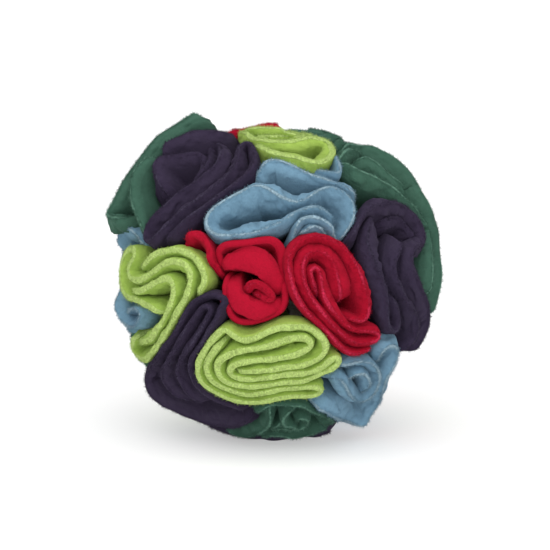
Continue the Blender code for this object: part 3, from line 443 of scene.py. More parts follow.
def view_to_world(v):
    """Turn (right, up, towards the eye) into world X, Y and Z."""
    right, up, near = v[..., 0], v[..., 1], v[..., 2]
    sin_tilt = math.sin(VIEW_TILT)
    cos_tilt = math.cos(VIEW_TILT)
    return np.stack([right, up * sin_tilt - near * cos_tilt, up * cos_tilt + near * sin_tilt], axis=-1)


def smooth_curve(points, closed, step):
    """Even steps along a smooth curve through a few points."""
    points = np.asarray(points, dtype=float)
    count = len(points)
    dense = []
    last = count if closed else count - 1
    for i in range(last):
        if closed:
            a, b, c, d = (points[(i + k) % count] for k in (-1, 0, 1, 2))
        else:
            a, b, c, d = (points[min(max(i + k, 0), count - 1)] for k in (-1, 0, 1, 2))
        for t in np.arange(CURVE_PARTS) / CURVE_PARTS:
            dense.append((2 * b + (c - a) * t + (2 * a - 5 * b + 4 * c - d) * t**2
                          + (3 * b - a - 3 * c + d) * t**3) / 2)
    dense.append(points[0] if closed else points[-1])
    dense = np.array(dense)
    lengths = np.linalg.norm(np.diff(dense[:, :3], axis=0), axis=1)
    along = np.concatenate([[0.0], np.cumsum(lengths)])
    steps = max(int(round(along[-1] / step)), 3)
    wanted = np.linspace(0.0, along[-1], steps + 1)
    if closed:
        wanted = wanted[:-1]
    return np.stack([np.interp(wanted, along, dense[:, k]) for k in range(dense.shape[1])], axis=1)


def traced_line(points_px):
    """One edge line from photograph pixels: its world directions, height shares and whether it closes."""
    rows = []
    for point in points_px:
        u = (point[0] - PHOTO_MIDDLE_PX[0]) / PHOTO_RADIUS_PX
        v = (PHOTO_MIDDLE_PX[1] - point[1]) / PHOTO_RADIUS_PX
        flat = math.hypot(u, v)
        height = point[2] if len(point) > 2 else max(1.0 - (1.0 - TOP_HEIGHT_SHARE) * max(v, 0.0), 0.0)
        height = max(height, flat / LIMB_SHARE)
        near = math.sqrt(height**2 - flat**2)
        rows.append([u, v, near])
    closed = tuple(points_px[0]) == tuple(points_px[-1])
    if closed:
        rows = rows[:-1]
    curve = smooth_curve(rows, closed, EDGE_STEP / FOLD_RADIUS)
    heights = np.linalg.norm(curve, axis=1)
    return view_to_world(unit(curve)), heights, closed


def spread_directions():
    """Tack directions, front rosettes first; the hidden ones shift until they fill the room evenly."""
    fixed = unit(view_to_world(np.array([r[2] for r in FRONT_ROSETTES])))
    free = unit(view_to_world(np.array([r[2] for r in HIDDEN_ROSETTES])))
    for _ in range(SPREAD_ROUNDS):
        everyone = np.concatenate([fixed, free])
        away = free[:, None, :] - everyone[None, :, :]
        distance = np.linalg.norm(away, axis=2)
        distance[distance == 0.0] = np.inf
        push = (away / distance[..., None]**3).sum(axis=1)
        free = unit(free + SPREAD_STEP_SHARE * unit(push))
    return np.concatenate([fixed, free])


def frame_of(axis):
    """Two directions square to an axis."""
    side = np.cross(axis, (0.0, 0.0, 1.0) if abs(axis[2]) < NEARLY_UPRIGHT_SHARE else (1.0, 0.0, 0.0))
    side = side / np.linalg.norm(side)
    return side, np.cross(axis, side)


def room_round(axis, angles, ways, others, drawn):
    """How far, in radians, a ruffle may reach each way before it meets a neighbour or a drawn line."""
    room = np.full(len(angles), QUARTER_TURN)
    for other in others:
        halfway = unit(axis - other)
        here = np.arctan2(np.full(len(angles), axis @ halfway), -(ways @ halfway))
        room = np.minimum(room, np.where(here > 0, here, QUARTER_TURN))
    side, cross = ways[0], np.cross(axis, ways[0])
    bins = ((np.arctan2(drawn @ cross, drawn @ side) / (2 * math.pi)) % 1.0 * DIRECTION_BINS).astype(int)
    reach = np.arccos(np.clip(drawn @ axis, -1.0, 1.0)) - (FLEECE_THICKNESS + FOLD_CLEARANCE) / FOLD_RADIUS
    nearest = np.full(DIRECTION_BINS, QUARTER_TURN)
    np.minimum.at(nearest, bins % DIRECTION_BINS, reach)
    nearest = np.minimum(nearest, np.minimum(np.roll(nearest, 1), np.roll(nearest, -1)))
    own_bin = (angles / (2 * math.pi) * DIRECTION_BINS).astype(int) % DIRECTION_BINS
    room = np.minimum(room * RUFFLE_ROOM_SHARE, nearest[own_bin])
    for _ in range(SOFTEN_ROUNDS):
        room = np.minimum(room, (np.roll(room, 1) + room + np.roll(room, -1)) / 3)
    return room


def ruffle_line(axes, own, drawn, folds, turn, height, sector,
                middle_share=RUFFLE_MIDDLE_SHARE, wave_share=RUFFLE_WAVE_SHARE):
    """A ruffle round one of the tack directions, as wide each way as its neighbours leave room for.

    A sector of a full turn closes the ruffle; a smaller one leaves it open, on the side away from the eye.
    """
    axis = axes[own]
    others = np.delete(axes, own, axis=0)
    away = view_to_world(np.array([0.0, 0.0, -1.0]))
    side = unit(away - axis * (away @ axis))
    cross = np.cross(axis, side)
    angles = 2 * math.pi * np.arange(RUFFLE_POINTS) / RUFFLE_POINTS
    ways = np.outer(np.cos(angles), side) + np.outer(np.sin(angles), cross)
    room = room_round(axis, angles, ways, others, drawn)
    closed = sector >= 2 * math.pi
    along = angles * sector / (2 * math.pi) - (0.0 if closed else sector / 2)
    wave = np.cos(folds * angles + turn) + RUFFLE_SECOND_SHARE * np.cos(2 * angles + turn)
    share = middle_share + wave_share * wave
    swirl = along + RUFFLE_SWIRL_SHARE * (share - middle_share)
    swirl += RUFFLE_UNEVEN_SHARE * np.sin(2 * angles + turn)
    if closed:
        swirl = swirl + turn
    tilt = np.interp(swirl % (2 * math.pi), angles, room, period=2 * math.pi) * share
    ways = np.outer(np.cos(swirl), side) + np.outer(np.sin(swirl), cross)
    directions = np.cos(tilt)[:, None] * axis + np.sin(tilt)[:, None] * ways
    curve = smooth_curve(directions, closed, EDGE_STEP / FOLD_RADIUS)
    return unit(curve), np.full(len(curve), height), closed


def settle(lines):
    """Push all edge lines apart until neighbouring folds clear each other, keeping them smooth."""
    start = np.concatenate([line[0] for line in lines])
    now = start.copy()
    owner = np.concatenate([np.full(len(line[0]), i) for i, line in enumerate(lines)])
    place = np.concatenate([np.arange(len(line[0])) for line in lines])
    size = np.concatenate([np.full(len(line[0]), len(line[0])) for line in lines])
    loops = np.concatenate([np.full(len(line[0]), line[2]) for line in lines])
    first = np.arange(len(now)) - place
    before = np.where(place > 0, first + place - 1, np.where(loops, first + size - 1, first))
    after = np.where(place < size - 1, first + place + 1, np.where(loops, first, first + size - 1))
    pitch = (FLEECE_THICKNESS + FOLD_CLEARANCE) / FOLD_RADIUS
    near_cos = math.cos(pitch * NEAR_REACH_SHARE)
    skip = QUARTER_TURN * pitch / (EDGE_STEP / FOLD_RADIUS)
    pairs = None
    for turn in range(SETTLE_ROUNDS):
        if turn % PAIR_ROUNDS == 0:
            small = now.astype(np.float32)
            i, j = np.nonzero(small @ small.T > near_cos)
            keep = i < j
            i, j = i[keep], j[keep]
            apart = np.abs(place[i] - place[j])
            apart = np.where(loops[i], np.minimum(apart, size[i] - apart), apart)
            keep = (owner[i] != owner[j]) | (apart > skip)
            pairs = i[keep], j[keep]
        i, j = pairs
        away = now[i] - now[j]
        distance = np.maximum(np.linalg.norm(away, axis=1), ZERO_SHARE)
        short = np.maximum(pitch - distance, 0.0)
        push = away * (PUSH_SHARE * short / distance)[:, None]
        move = np.zeros_like(now)
        for k in range(3):
            move[:, k] += np.bincount(i, push[:, k], len(now)) - np.bincount(j, push[:, k], len(now))
        crowd = np.bincount(i, short > 0, len(now)) + np.bincount(j, short > 0, len(now))
        move /= (1.0 + CROWD_SHARE * crowd)[:, None]
        move += SMOOTH_SHARE * ((now[before] + now[after]) / 2 - now)
        move += HOLD_SHARE * (start - now)
        now = unit(now + move)
    return [(now[owner == i], line[1], line[2]) for i, line in enumerate(lines)]


def all_rosettes():
    """Name, fleece, tack direction and settled edge lines of every rosette, the inner ruffles last."""
    axes = spread_directions()
    entries = []
    drawn = []
    for (name, fleece, _, lines_px, *_), axis in zip(FRONT_ROSETTES, axes):
        lines = [traced_line(points) for points in lines_px]
        drawn += [line[0] for line in lines]
        entries.append((name, fleece, axis, lines))
    drawn = np.concatenate(drawn)
    for k, (_, _, _, _, folds, height) in enumerate(FRONT_ROSETTES):
        if folds:
            entries[k][3].append(ruffle_line(axes, k, drawn, folds, math.pi, height, AWAY_SECTOR))
    for k, (name, fleece, _, folds, turn, height) in enumerate(HIDDEN_ROSETTES, len(FRONT_ROSETTES)):
        line = ruffle_line(axes, k, drawn, folds, turn, height, 2 * math.pi)
        entries.append((name, fleece, axes[k], [line]))
    settled = settle([line for entry in entries for line in entry[3]])
    done = []
    for name, fleece, axis, lines in entries:
        done.append((name, fleece, axis, settled[:len(lines)]))
        settled = settled[len(lines):]
    for k, (_, _, _, _, turn, height) in enumerate(HIDDEN_ROSETTES, len(FRONT_ROSETTES)):
        for middle_share, wave_share, folds, height_share in INNER_RUFFLES:
            inner = ruffle_line(axes, k, drawn, folds, turn + folds, height * height_share, 2 * math.pi,
                                middle_share, wave_share)
            done[k][3].append(inner)
    return done


def ripple(points, length, seed):
    """A smooth wave through space between -1 and 1, with bumps about one length apart."""
    rng = np.random.default_rng(seed)
    total = np.zeros(points.shape[:-1])
    for way in unit(rng.normal(size=(RIPPLE_SINES, 3))):
        pace = 2 * math.pi / length * rng.uniform(*RIPPLE_PACE)
        total += np.sin(points @ way * pace + rng.uniform(0, 2 * math.pi))
    return np.clip(total / RIPPLE_LIMIT, -1.0, 1.0)


def creases(points, length, seed):
    """Rounded swellings between sharp valleys, from -1 in a valley to 1, about one length apart."""
    first = np.abs(ripple(points, length, seed))
    second = np.abs(ripple(points, length * SECOND_CREASE_SHARE, seed + CREASE_SEED))
    least = np.minimum(first, second + SECOND_CREASE_LIFT)
    return 2.0 * np.minimum(1.0, CREASE_GAIN * least)**CREASE_POWER - 1.0


def cloth_line(line):
    """A settled line at the cloth's own fine step; an open end dives between its neighbours."""
    directions, heights, closed = line
    rows = np.concatenate([directions, heights[:, None]], axis=1)
    curve = smooth_curve(rows, closed, CLOTH_STEP / FOLD_RADIUS)
    directions, heights = unit(curve[:, :3]), curve[:, 3]
    if closed:
        return directions, heights, True
    count = int(round(DIVE_LENGTH / CLOTH_STEP))
    steps = np.arange(1, count + 1)
    head = directions[0] + (directions[0] - directions[END_SPAN]) / END_SPAN * steps[::-1, None]
    tail = directions[-1] + (directions[-1] - directions[-1 - END_SPAN]) / END_SPAN * steps[:, None]
    drop = DIVE_DEPTH / FOLD_RADIUS * (steps / count)**2
    directions = unit(np.concatenate([head, directions, tail]))
    heights = np.concatenate([heights[0] - drop[::-1], heights, heights[-1] - drop])
    return directions, heights, False


def soften(values, closed, reach):
    """The least of near values along a line, then their average."""
    def shifted(k):
        if closed:
            return np.roll(values, k)
        return values[np.clip(np.arange(len(values)) - k, 0, len(values) - 1)]
    values = np.min([shifted(k) for k in range(-reach, reach + 1)], axis=0)
    return np.mean([shifted(k) for k in range(-2 * reach, 2 * reach + 1)], axis=0)


def across(directions, closed):
    """The way along and the way across a line at each of its points, on the ball's surface."""
    if closed:
        tangent = np.roll(directions, -1, axis=0) - np.roll(directions, 1, axis=0)
    else:
        tangent = np.gradient(directions, axis=0)
    tangent = unit(tangent)
    return tangent, unit(np.cross(directions, tangent))


def face_rooms(lines, weights):
    """How far each fold's two faces may lean out before they meet the faces of the next fold."""
    points = [d * (FOLD_RADIUS * h)[:, None] for d, h, _ in lines]
    every = np.concatenate([p[::OTHER_STRIDE] for p in points])
    owner = np.concatenate([np.full(len(p[::OTHER_STRIDE]), i) for i, p in enumerate(points)])
    place = np.concatenate([np.arange(len(p))[::OTHER_STRIDE] for p in points])
    weight = weights[owner]
    rooms = []
    for i, ((directions, _, closed), here) in enumerate(zip(lines, points)):
        lateral = across(directions, closed)[1]
        sides = np.full((2, len(here)), FACE_REACH)
        gaps = np.linalg.norm(every[:, None, :] - here[None, ::OWN_STRIDE, :], axis=2)
        close = gaps.min(axis=1) < SEARCH_SHARE * FACE_REACH
        near, near_owner, near_place = every[close], owner[close], place[close]
        part_of = weights[i] / (weights[i] + weight[close])
        away = near[None, :, :] - here[:, None, :]
        distance = np.linalg.norm(away, axis=2)
        side = (away * lateral[:, None, :]).sum(axis=2)
        apart = np.abs(near_place[None, :] - np.arange(len(here))[:, None])
        if closed:
            apart = np.minimum(apart, len(here) - apart)
        own = (near_owner[None, :] == i) & (apart * CLOTH_STEP < OWN_SKIP)
        useful = ~own & (np.abs(side) > distance * SIDE_CONE_SHARE)
        taken = distance * part_of[None, :]
        if closed:
            taken = taken * distance / np.maximum(np.abs(side), distance * SIDE_CONE_SHARE)
        sides[0] = np.where(useful & (side > 0), taken, FACE_REACH).min(axis=1)
        sides[1] = np.where(useful & (side < 0), taken, FACE_REACH).min(axis=1)
        room = sides - FLEECE_THICKNESS / 2 + MEET_DEPTH
        room = np.clip(room, LEAST_ROOM, FACE_REACH)
        reach = LOOP_SMOOTH_REACH if closed else SMOOTH_REACH
        rooms.append([soften(room[0], closed, reach), soften(room[1], closed, reach)])
    return rooms


def pressed(points):
    """Bend what would pass under the floor up to the ground it rests on."""
    floor = -CENTRE.z
    lowest = floor - REST_CUT_DEPTH
    share = np.where(points[:, 2] < lowest, lowest / np.minimum(points[:, 2], -COVER_RADIUS), 1.0)
    points = points * share[:, None]
    points[:, 2] = np.maximum(points[:, 2], floor)
    return points


class Fold(NamedTuple):
    """What shapes one fold at each point of its line; sizes are metres, seed starts its waves."""

    directions: np.ndarray
    radius: np.ndarray
    lateral: np.ndarray
    half_width: np.ndarray
    lift: np.ndarray
    shift: np.ndarray
    gather: np.ndarray
    seed: int


def crown_rows(fold, roll):
    """Rows over the cut edge: way sideways, depth below the line, and the cut and deep values."""
    rows = []
    for turn in np.linspace(CROWN_TURN, -CROWN_TURN, CROWN_ROWS):
        sideways = fold.half_width * math.sin(turn) / math.sin(CROWN_TURN) + fold.shift
        # The cut value marks the crest for the lighter edge colour, which is partly the cut edge's own nap
        # and partly a painted highlight
        cut = math.cos(turn / CUT_SPREAD) * max(1.0 - roll, 0.0)
        rows.append((sideways, CROWN_DEPTH * (1 - math.cos(turn)) - fold.lift, cut, 0.0))
    return rows


def face_rows(fold, sign, room, depth_share):
    """Rows down one face, from the cut edge to where the face meets the next fold's."""
    half = fold.half_width
    reach = np.maximum(room + FLEECE_THICKNESS / 2, half + LEAST_ROOM)
    depth = NARROW_DEPTH + (WIDE_DEPTH - NARROW_DEPTH) * (1 - np.exp(-room / DEPTH_CHANGE))
    depth = np.maximum(depth * depth_share, LEAST_DEPTH)
    start = CROWN_DEPTH * (1 - math.cos(CROWN_TURN))
    rows = []
    for k in range(1, FACE_ROWS + 1):
        s = k / FACE_ROWS
        sideways = half + (reach - half) * s**FACE_BELLY
        below = start + (depth - start) * s
        middle = fold.directions * (fold.radius - below)[:, None] + fold.lateral * (sign * sideways)[:, None]
        wave = FLUTE_DEPTH * creases(middle, FLUTE_LENGTH, fold.seed + FLUTE_SEED)
        wave = wave + WRINKLE_DEPTH * ripple(middle, WRINKLE_LENGTH, fold.seed + WRINKLE_SEED)
        wave = wave + fold.gather * s**GATHER_POWER
        wave = wave * np.clip(room / WAVE_ROOM, *WAVE_SHARES) * math.sin(math.pi * min(s * WAVE_FALL, 1.0))
        # The fourth value, the share of the way down the face, sets how much painted valley shade the row
        # takes
        rows.append((sign * (sideways + wave) + fold.shift * (1 - s), below - fold.lift * (1 - s), 0.0, s))
    return rows


def loft_faces(count, height, closed):
    """Faces over count columns of height points each, closed along two last points, the shell's feet."""
    first, second = count * height, count * height + 1
    here = np.arange(count if closed else count - 1) * height
    there = (here + height) % (count * height)
    column = np.arange(height - 1)
    quads = np.stack([here[:, None] + column, here[:, None] + column + 1,
                      there[:, None] + column + 1, there[:, None] + column], axis=2).reshape(-1, 4)
    faces = quads.tolist()
    faces += np.stack([there, np.full(len(here), first), here], axis=1).tolist()
    faces += np.stack([here + height - 1, np.full(len(here), second), there + height - 1], axis=1).tolist()
    if not closed:
        end = (count - 1) * height
        faces.append(list(range(height - 1, -1, -1)) + [first, second])
        faces.append(list(range(end, end + height)) + [second, first])
    return faces


def cloth_shell(line, rooms, shape, axis, style, seed):
    """One fold as a closed shell: points, faces, and the cut, deep and along values of its points."""
    directions, heights, closed = line
    count = len(directions)
    lateral = across(directions, closed)[1]
    radius = FOLD_RADIUS * heights
    edge = directions * radius[:, None]
    _, left_depth, right_depth, roll = shape
    least = np.minimum(rooms[0], rooms[1])
    swell = 1.0 + EDGE_SWELL_SHARE * ripple(edge, EDGE_WAVE_LENGTH / 2, seed + SWELL_SEED)
    half = np.minimum(style.edge_width / 2 * swell * (1.0 + roll), least + FLEECE_THICKNESS / 2 + EDGE_SPARE)
    if not closed:
        fade = np.minimum(np.arange(count), np.arange(count)[::-1]) * CLOTH_STEP / DIVE_LENGTH
        half = half * (END_WIDTH_SHARE + (1.0 - END_WIDTH_SHARE) * np.clip(fade, 0.0, 1.0))
    lift = EDGE_WAVE * ripple(edge, EDGE_WAVE_LENGTH, seed + LIFT_SEED)
    shift = np.minimum(EDGE_SHIFT, least / 2) * ripple(edge, EDGE_WAVE_LENGTH, seed + SHIFT_SEED)
    gather = GATHER_DEPTH * creases(edge, GATHER_LENGTH, seed + GATHER_SEED)
    fold = Fold(directions, radius, lateral, half, lift, shift, gather, seed)
    rows = face_rows(fold, 1.0, rooms[0], left_depth)[::-1] + crown_rows(fold, roll)
    rows += face_rows(fold, -1.0, rooms[1], right_depth)
    low = axis * (COVER_RADIUS + TOUCH_GAP + STEM_LENGTH - PINCH_DEPTH)
    high = low + axis * PINCH_FOLD
    turning = np.cross(directions, np.roll(directions, -1, axis=0)).sum(axis=0) @ axis
    feet = (high, low) if turning > 0 else (low, high)
    layers = []
    for sideways, below, *_ in rows:
        way = unit(directions + lateral * (sideways / radius)[:, None])
        layers.append(pressed(way * (radius - below)[:, None]))
    cut = [row[2] for row in rows]
    deep = [row[3] for row in rows]
    # The rows down to the pinch are marked fully deep, so they take the whole painted valley shade
    for share in PINCH_SHARES:
        layers.insert(0, layers[0] * (1 - share) + feet[0] * share)
        layers.append(layers[-1] * (1 - share) + feet[1] * share)
        cut = [0.0] + cut + [0.0]
        deep = [1.0] + deep + [1.0]
    points = np.concatenate([np.stack(layers, axis=1).reshape(-1, 3), feet])
    cut = np.concatenate([np.tile(cut, count), [0.0, 0.0]])
    deep = np.concatenate([np.tile(deep, count), [1.0, 1.0]])
    along = np.concatenate([np.repeat(np.arange(count) * CLOTH_STEP, len(layers)), [0.0, 0.0]])
    return points, loft_faces(count, len(layers), closed), cut, deep, along


def stem_shell(axis, seed):
    """The pinched middle of the cloth: a fluted stem from the cover up to where the folds spread."""
    side, cross = frame_of(axis)
    angles = 2 * math.pi * np.arange(STEM_STEPS) / STEM_STEPS
    around = np.outer(np.cos(angles), side) + np.outer(np.sin(angles), cross)
    flute = 1 - STEM_FLUTE_SHARE * (0.5 + 0.5 * np.cos(STEM_FLUTES * angles + seed))
    rings = []
    for radius, height in STEM_PROFILE:
        rings.append(axis * (COVER_RADIUS + TOUCH_GAP + height) + around * (radius * flute)[:, None])
    points = np.concatenate(rings + [[axis * (COVER_RADIUS + TOUCH_GAP)],
                                     [axis * (COVER_RADIUS + TOUCH_GAP + STEM_PROFILE[-1][1])]])
    low, high = len(points) - 2, len(points) - 1
    faces = []
    for k in range(len(rings) - 1):
        for i in range(STEM_STEPS):
            n = (i + 1) % STEM_STEPS
            faces.append([k * STEM_STEPS + i, k * STEM_STEPS + n, (k + 1) * STEM_STEPS + n,
                          (k + 1) * STEM_STEPS + i])
    top = (len(rings) - 1) * STEM_STEPS
    for i in range(STEM_STEPS):
        n = (i + 1) % STEM_STEPS
        faces.append([low, n, i])
        faces.append([high, top + i, top + n])
    # The stem is marked fully deep, so it takes the whole painted valley shade
    flat = np.zeros(len(points))
    return points, faces, flat, flat + 1.0, flat


def fold_volume(points, faces):
    """Six times the volume inside a shell, negative when it is inside out."""
    quads = np.array([face for face in faces if len(face) == 4])
    rest = [face for face in faces if len(face) != 4]
    a, b, c, d = (points[quads[:, k]] for k in range(4))
    total = (a * np.cross(b, c)).sum() + (a * np.cross(c, d)).sum()
    for face in rest:
        for k in range(1, len(face) - 1):
            total += points[face[0]] @ np.cross(points[face[k]], points[face[k + 1]])
    return total


def linked(name, data):
    """An object of some data, linked to the scene."""
    item = bpy.data.objects.new(name, data)
    bpy.context.scene.collection.objects.link(item)
    return item


def join_shells(name, shells, material):
    """Make one object of several closed shells, with their values as attributes of its points."""
    points, faces, values = [], [], [[], [], []]
    for shell_points, shell_faces, *shell_values in shells:
        if fold_volume(shell_points, shell_faces) < 0:
            shell_faces = [face[::-1] for face in shell_faces]
        first = sum(len(p) for p in points)
        faces += [[first + k for k in face] for face in shell_faces]
        points.append(shell_points)
        for kept, new in zip(values, shell_values):
            kept.append(new)
    points = np.concatenate(points) + np.array(CENTRE)
    mesh = bpy.data.meshes.new(name)
    mesh.from_pydata(points.tolist(), [], faces)
    for attribute, value in zip(("cut", "deep", "along"), values):
        mesh.attributes.new(attribute, "FLOAT", "POINT").data.foreach_set("value", np.concatenate(value))
    mesh.shade_smooth()
    mesh.materials.append(material)
    mesh.update()
    return linked(name, mesh)


def new_object(name, mesh, material):
    """Make an object of a bmesh built round the core's middle, at the core's place."""
    bmesh.ops.recalc_face_normals(mesh, faces=mesh.faces)
    bmesh.ops.translate(mesh, verts=mesh.verts, vec=CENTRE)
    data = bpy.data.meshes.new(name)
    mesh.to_mesh(data)
    mesh.free()
    data.shade_smooth()
    data.materials.append(material)
    return linked(name, data)


def put(tree, kind, inputs=None, **settings):
    """Add a node with its settings; its inputs are values or the sockets that feed them."""
    node = tree.nodes.new(kind)
    for name, value in settings.items():
        setattr(node, name, value)
    for name, value in (inputs or {}).items():
        if isinstance(value, bpy.types.NodeSocket):
            tree.links.new(value, node.inputs[name])
        else:
            node.inputs[name].default_value = value
    return node


def calc(tree, operation, *values):
    """A Math node's result."""
    return put(tree, "ShaderNodeMath", dict(enumerate(values)), operation=operation).outputs[0]


def blend(tree, factor, a, b, how="MIX"):
    """A colour mixed from two."""
    node = put(tree, "ShaderNodeMix", {0: factor, 6: a, 7: b}, data_type="RGBA", blend_type=how)
    return node.outputs[2]


def grain(tree, position, size, detail, roughness=0.5):
    """A noise with grains of a given size in metres."""
    node = put(tree, "ShaderNodeTexNoise",
               {"Vector": position, "Scale": 1 / size, "Detail": detail, "Roughness": roughness})
    return node.outputs["Fac"]


def sockets(tree, inputs, outputs):
    """Give a group its named sockets; each input has its default value or the name of its kind."""
    for name, value in inputs.items():
        kind = {str: value, int: "NodeSocketInt", float: "NodeSocketFloat"}[type(value)]
        socket = tree.interface.new_socket(name, in_out="INPUT", socket_type=kind)
        if kind is not value:
            socket.default_value = value
    for name, kind in outputs.items():
        tree.interface.new_socket(name, in_out="OUTPUT", socket_type=kind)
    return tree.nodes.new("NodeGroupInput").outputs, tree.nodes.new("NodeGroupOutput").inputs


def once(name, kind, build):
    """The node group of a name, built the first time it is asked for."""
    tree = bpy.data.node_groups.get(name)
    if tree is None:
        tree = bpy.data.node_groups.new(name, kind)
        build(tree)
    return tree


def toned(tree, *grains):
    """The product of some values, each first scaled by an amount and raised to a least value."""
    result = None
    for value, amount, least in grains:
        part = calc(tree, "MULTIPLY_ADD", value, amount, least)
        result = part if result is None else calc(tree, "MULTIPLY", result, part)
    return result


def fleece_nap(tree):
    """Shader group: the nap of fleece on its faces, and the open knit along its cut edges, whose lighter
    colour is partly a painted highlight; deep in each fold the colour is darkened as painted shade.
    """
    given, wanted = sockets(tree, {"Face Colour": "NodeSocketColor", "Edge Colour": "NodeSocketColor",
                                   "Valley Share": 0.3, "Edge Share": 0.5, "Nap Size": 0.0009,
                                   "Rib Length": 0.0013}, SHADER_OUTPUTS)
    position = put(tree, "ShaderNodeTexCoord").outputs["Object"]
    cut, deep, along = (put(tree, "ShaderNodeAttribute", attribute_name=name).outputs["Fac"]
                        for name in ("cut", "deep", "along"))
    nap_scale = calc(tree, "DIVIDE", 1.0, given["Nap Size"])
    nap = put(tree, "ShaderNodeTexNoise", {"Vector": position, "Scale": nap_scale, "Detail": 4.0,
                                           "Roughness": 0.65}).outputs["Fac"]
    clumps = grain(tree, position, CLUMP_SIZE, 3.0, 0.6)
    drift = grain(tree, position, DRIFT_SIZE, 2.0)
    speckle = grain(tree, position, SPECKLE_SIZE, 2.0, 0.7)
    phase = calc(tree, "MULTIPLY_ADD", clumps, RIB_WANDER, calc(tree, "DIVIDE", along, given["Rib Length"]))
    rib = calc(tree, "MULTIPLY_ADD", calc(tree, "SINE", calc(tree, "MULTIPLY", phase, 2 * math.pi)), 0.5, 0.5)
    # The cut edge's mask: where the lighter edge colour shows, partly the cut edge's own nap and partly a
    # painted highlight along each crest, and where its bumps stand
    rough_cut = calc(tree, "MULTIPLY_ADD", calc(tree, "SUBTRACT", nap, 0.5), CUT_NAP_SHARE, cut)
    rough_cut = calc(tree, "MULTIPLY_ADD", calc(tree, "SUBTRACT", drift, 0.5), CUT_DRIFT_SHARE, rough_cut)
    outer = calc(tree, "SUBTRACT", 1.0, given["Edge Share"])
    mask = put(tree, "ShaderNodeMapRange", {0: rough_cut, 1: outer, 2: calc(tree, "ADD", outer, CUT_FADE)},
               interpolation_type="SMOOTHSTEP").outputs[0]
    face_tone = toned(tree, (clumps, *CLUMP_TONE), (drift, *DRIFT_TONE), (nap, *NAP_TONE))
    edge_tone = toned(tree, (speckle, *SPECKLE_TONE), (rib, *RIB_TONE))
    face = blend(tree, 1.0, given["Face Colour"], face_tone, "MULTIPLY")
    edge = blend(tree, 1.0, given["Edge Colour"], edge_tone, "MULTIPLY")
    # Painted shade: the colour darkens with the deep value, towards the bottom of each fold and on the stem
    shade = calc(tree, "SUBTRACT", 1.0, calc(tree, "MULTIPLY", deep, given["Valley Share"]))
    tree.links.new(blend(tree, 1.0, blend(tree, mask, face, edge), shade, "MULTIPLY"), wanted["Colour"])
    height = calc(tree, "MULTIPLY_ADD", nap, NAP_HEIGHT, calc(tree, "MULTIPLY", clumps, CLUMP_HEIGHT))
    edge_height = calc(tree, "MULTIPLY", speckle, SPECKLE_HEIGHT)
    edge_height = calc(tree, "MULTIPLY_ADD", rib, RIB_HEIGHT, edge_height)
    tree.links.new(calc(tree, "MULTIPLY_ADD", edge_height, mask, height), wanted["Height"])
    tree.links.new(calc(tree, "MULTIPLY_ADD", nap, *FLEECE_ROUGHNESS), wanted["Roughness"])


def soft_finish(name, group, values, bump_strength, bump_size, sheen, sheen_tint):
    """A material on a Principled shader fed by one shader group."""
    if name in bpy.data.materials:
        return bpy.data.materials[name]
    material = bpy.data.materials.new(name)
    material.use_nodes = True
    tree = material.node_tree
    shader = tree.nodes["Principled BSDF"]
    parts = put(tree, "ShaderNodeGroup", values, node_tree=group)
    tree.links.new(parts.outputs["Colour"], shader.inputs["Base Color"])
    tree.links.new(parts.outputs["Roughness"], shader.inputs["Roughness"])
    bump = put(tree, "ShaderNodeBump", {"Strength": bump_strength, "Distance": bump_size,
                                        "Height": parts.outputs["Height"]})
    tree.links.new(bump.outputs["Normal"], shader.inputs["Normal"])
    shader.inputs["Specular IOR Level"].default_value = CLOTH_SPECULAR
    shader.inputs["Sheen Weight"].default_value = sheen
    shader.inputs["Sheen Roughness"].default_value = SHEEN_ROUGHNESS
    shader.inputs["Sheen Tint"].default_value = sheen_tint
    material.diffuse_color = (*sheen_tint[:3], 1.0)
    return material


def fleece_style(fleece):
    """The look of one colour of fleece, as the scene holds it."""
    return getattr(bpy.context.scene.foraging_ball, fleece)


def fleece_material(fleece):
    """The material of one colour of fleece."""
    style = fleece_style(fleece)
    # The edge colour is partly the cut edge's own lighter nap and partly a painted highlight along each
    # fold's crest; it tints the sheen as well
    edge = (*style.edge_and_highlight_colour, 1.0)
    values = {"Face Colour": (*style.face_colour, 1.0), "Edge Colour": edge, "Nap Size": style.nap_size,
              "Valley Share": style.painted_valley_shade, "Edge Share": style.edge_and_highlight_share}
    group = once("Fleece nap and cut edge", "ShaderNodeTree", fleece_nap)
    return soft_finish("Fleece, " + fleece, group, values, bump_strength=0.7, bump_size=0.0009,
                       sheen=style.sheen, sheen_tint=edge)


def plain_weave(tree):
    """Shader group: a plain weave laid over a ball by its own directions."""
    given, wanted = sockets(tree, {"Colour": "NodeSocketColor", "Thread Width": 0.0005}, SHADER_OUTPUTS)
    position = put(tree, "ShaderNodeTexCoord").outputs["Object"]
    apart = put(tree, "ShaderNodeSeparateXYZ", {0: position}).outputs
    turn = calc(tree, "DIVIDE", math.pi, given["Thread Width"])
    rows, columns, layers = (calc(tree, "SINE", calc(tree, "MULTIPLY", apart[k], turn)) for k in range(3))
    weave = calc(tree, "ADD", calc(tree, "MULTIPLY", rows, columns), calc(tree, "MULTIPLY", columns, layers))
    weave = calc(tree, "MULTIPLY_ADD", weave, 0.25, 0.5)
    lint = grain(tree, position, LINT_SIZE, 3.0)
    tone = toned(tree, (weave, *WEAVE_TONE), (lint, *LINT_TONE))
    tree.links.new(blend(tree, 1.0, given["Colour"], tone, "MULTIPLY"), wanted["Colour"])
    tree.links.new(calc(tree, "MULTIPLY_ADD", lint, LINT_HEIGHT, weave), wanted["Height"])
    tree.links.new(calc(tree, "MULTIPLY_ADD", lint, *CALICO_ROUGHNESS), wanted["Roughness"])


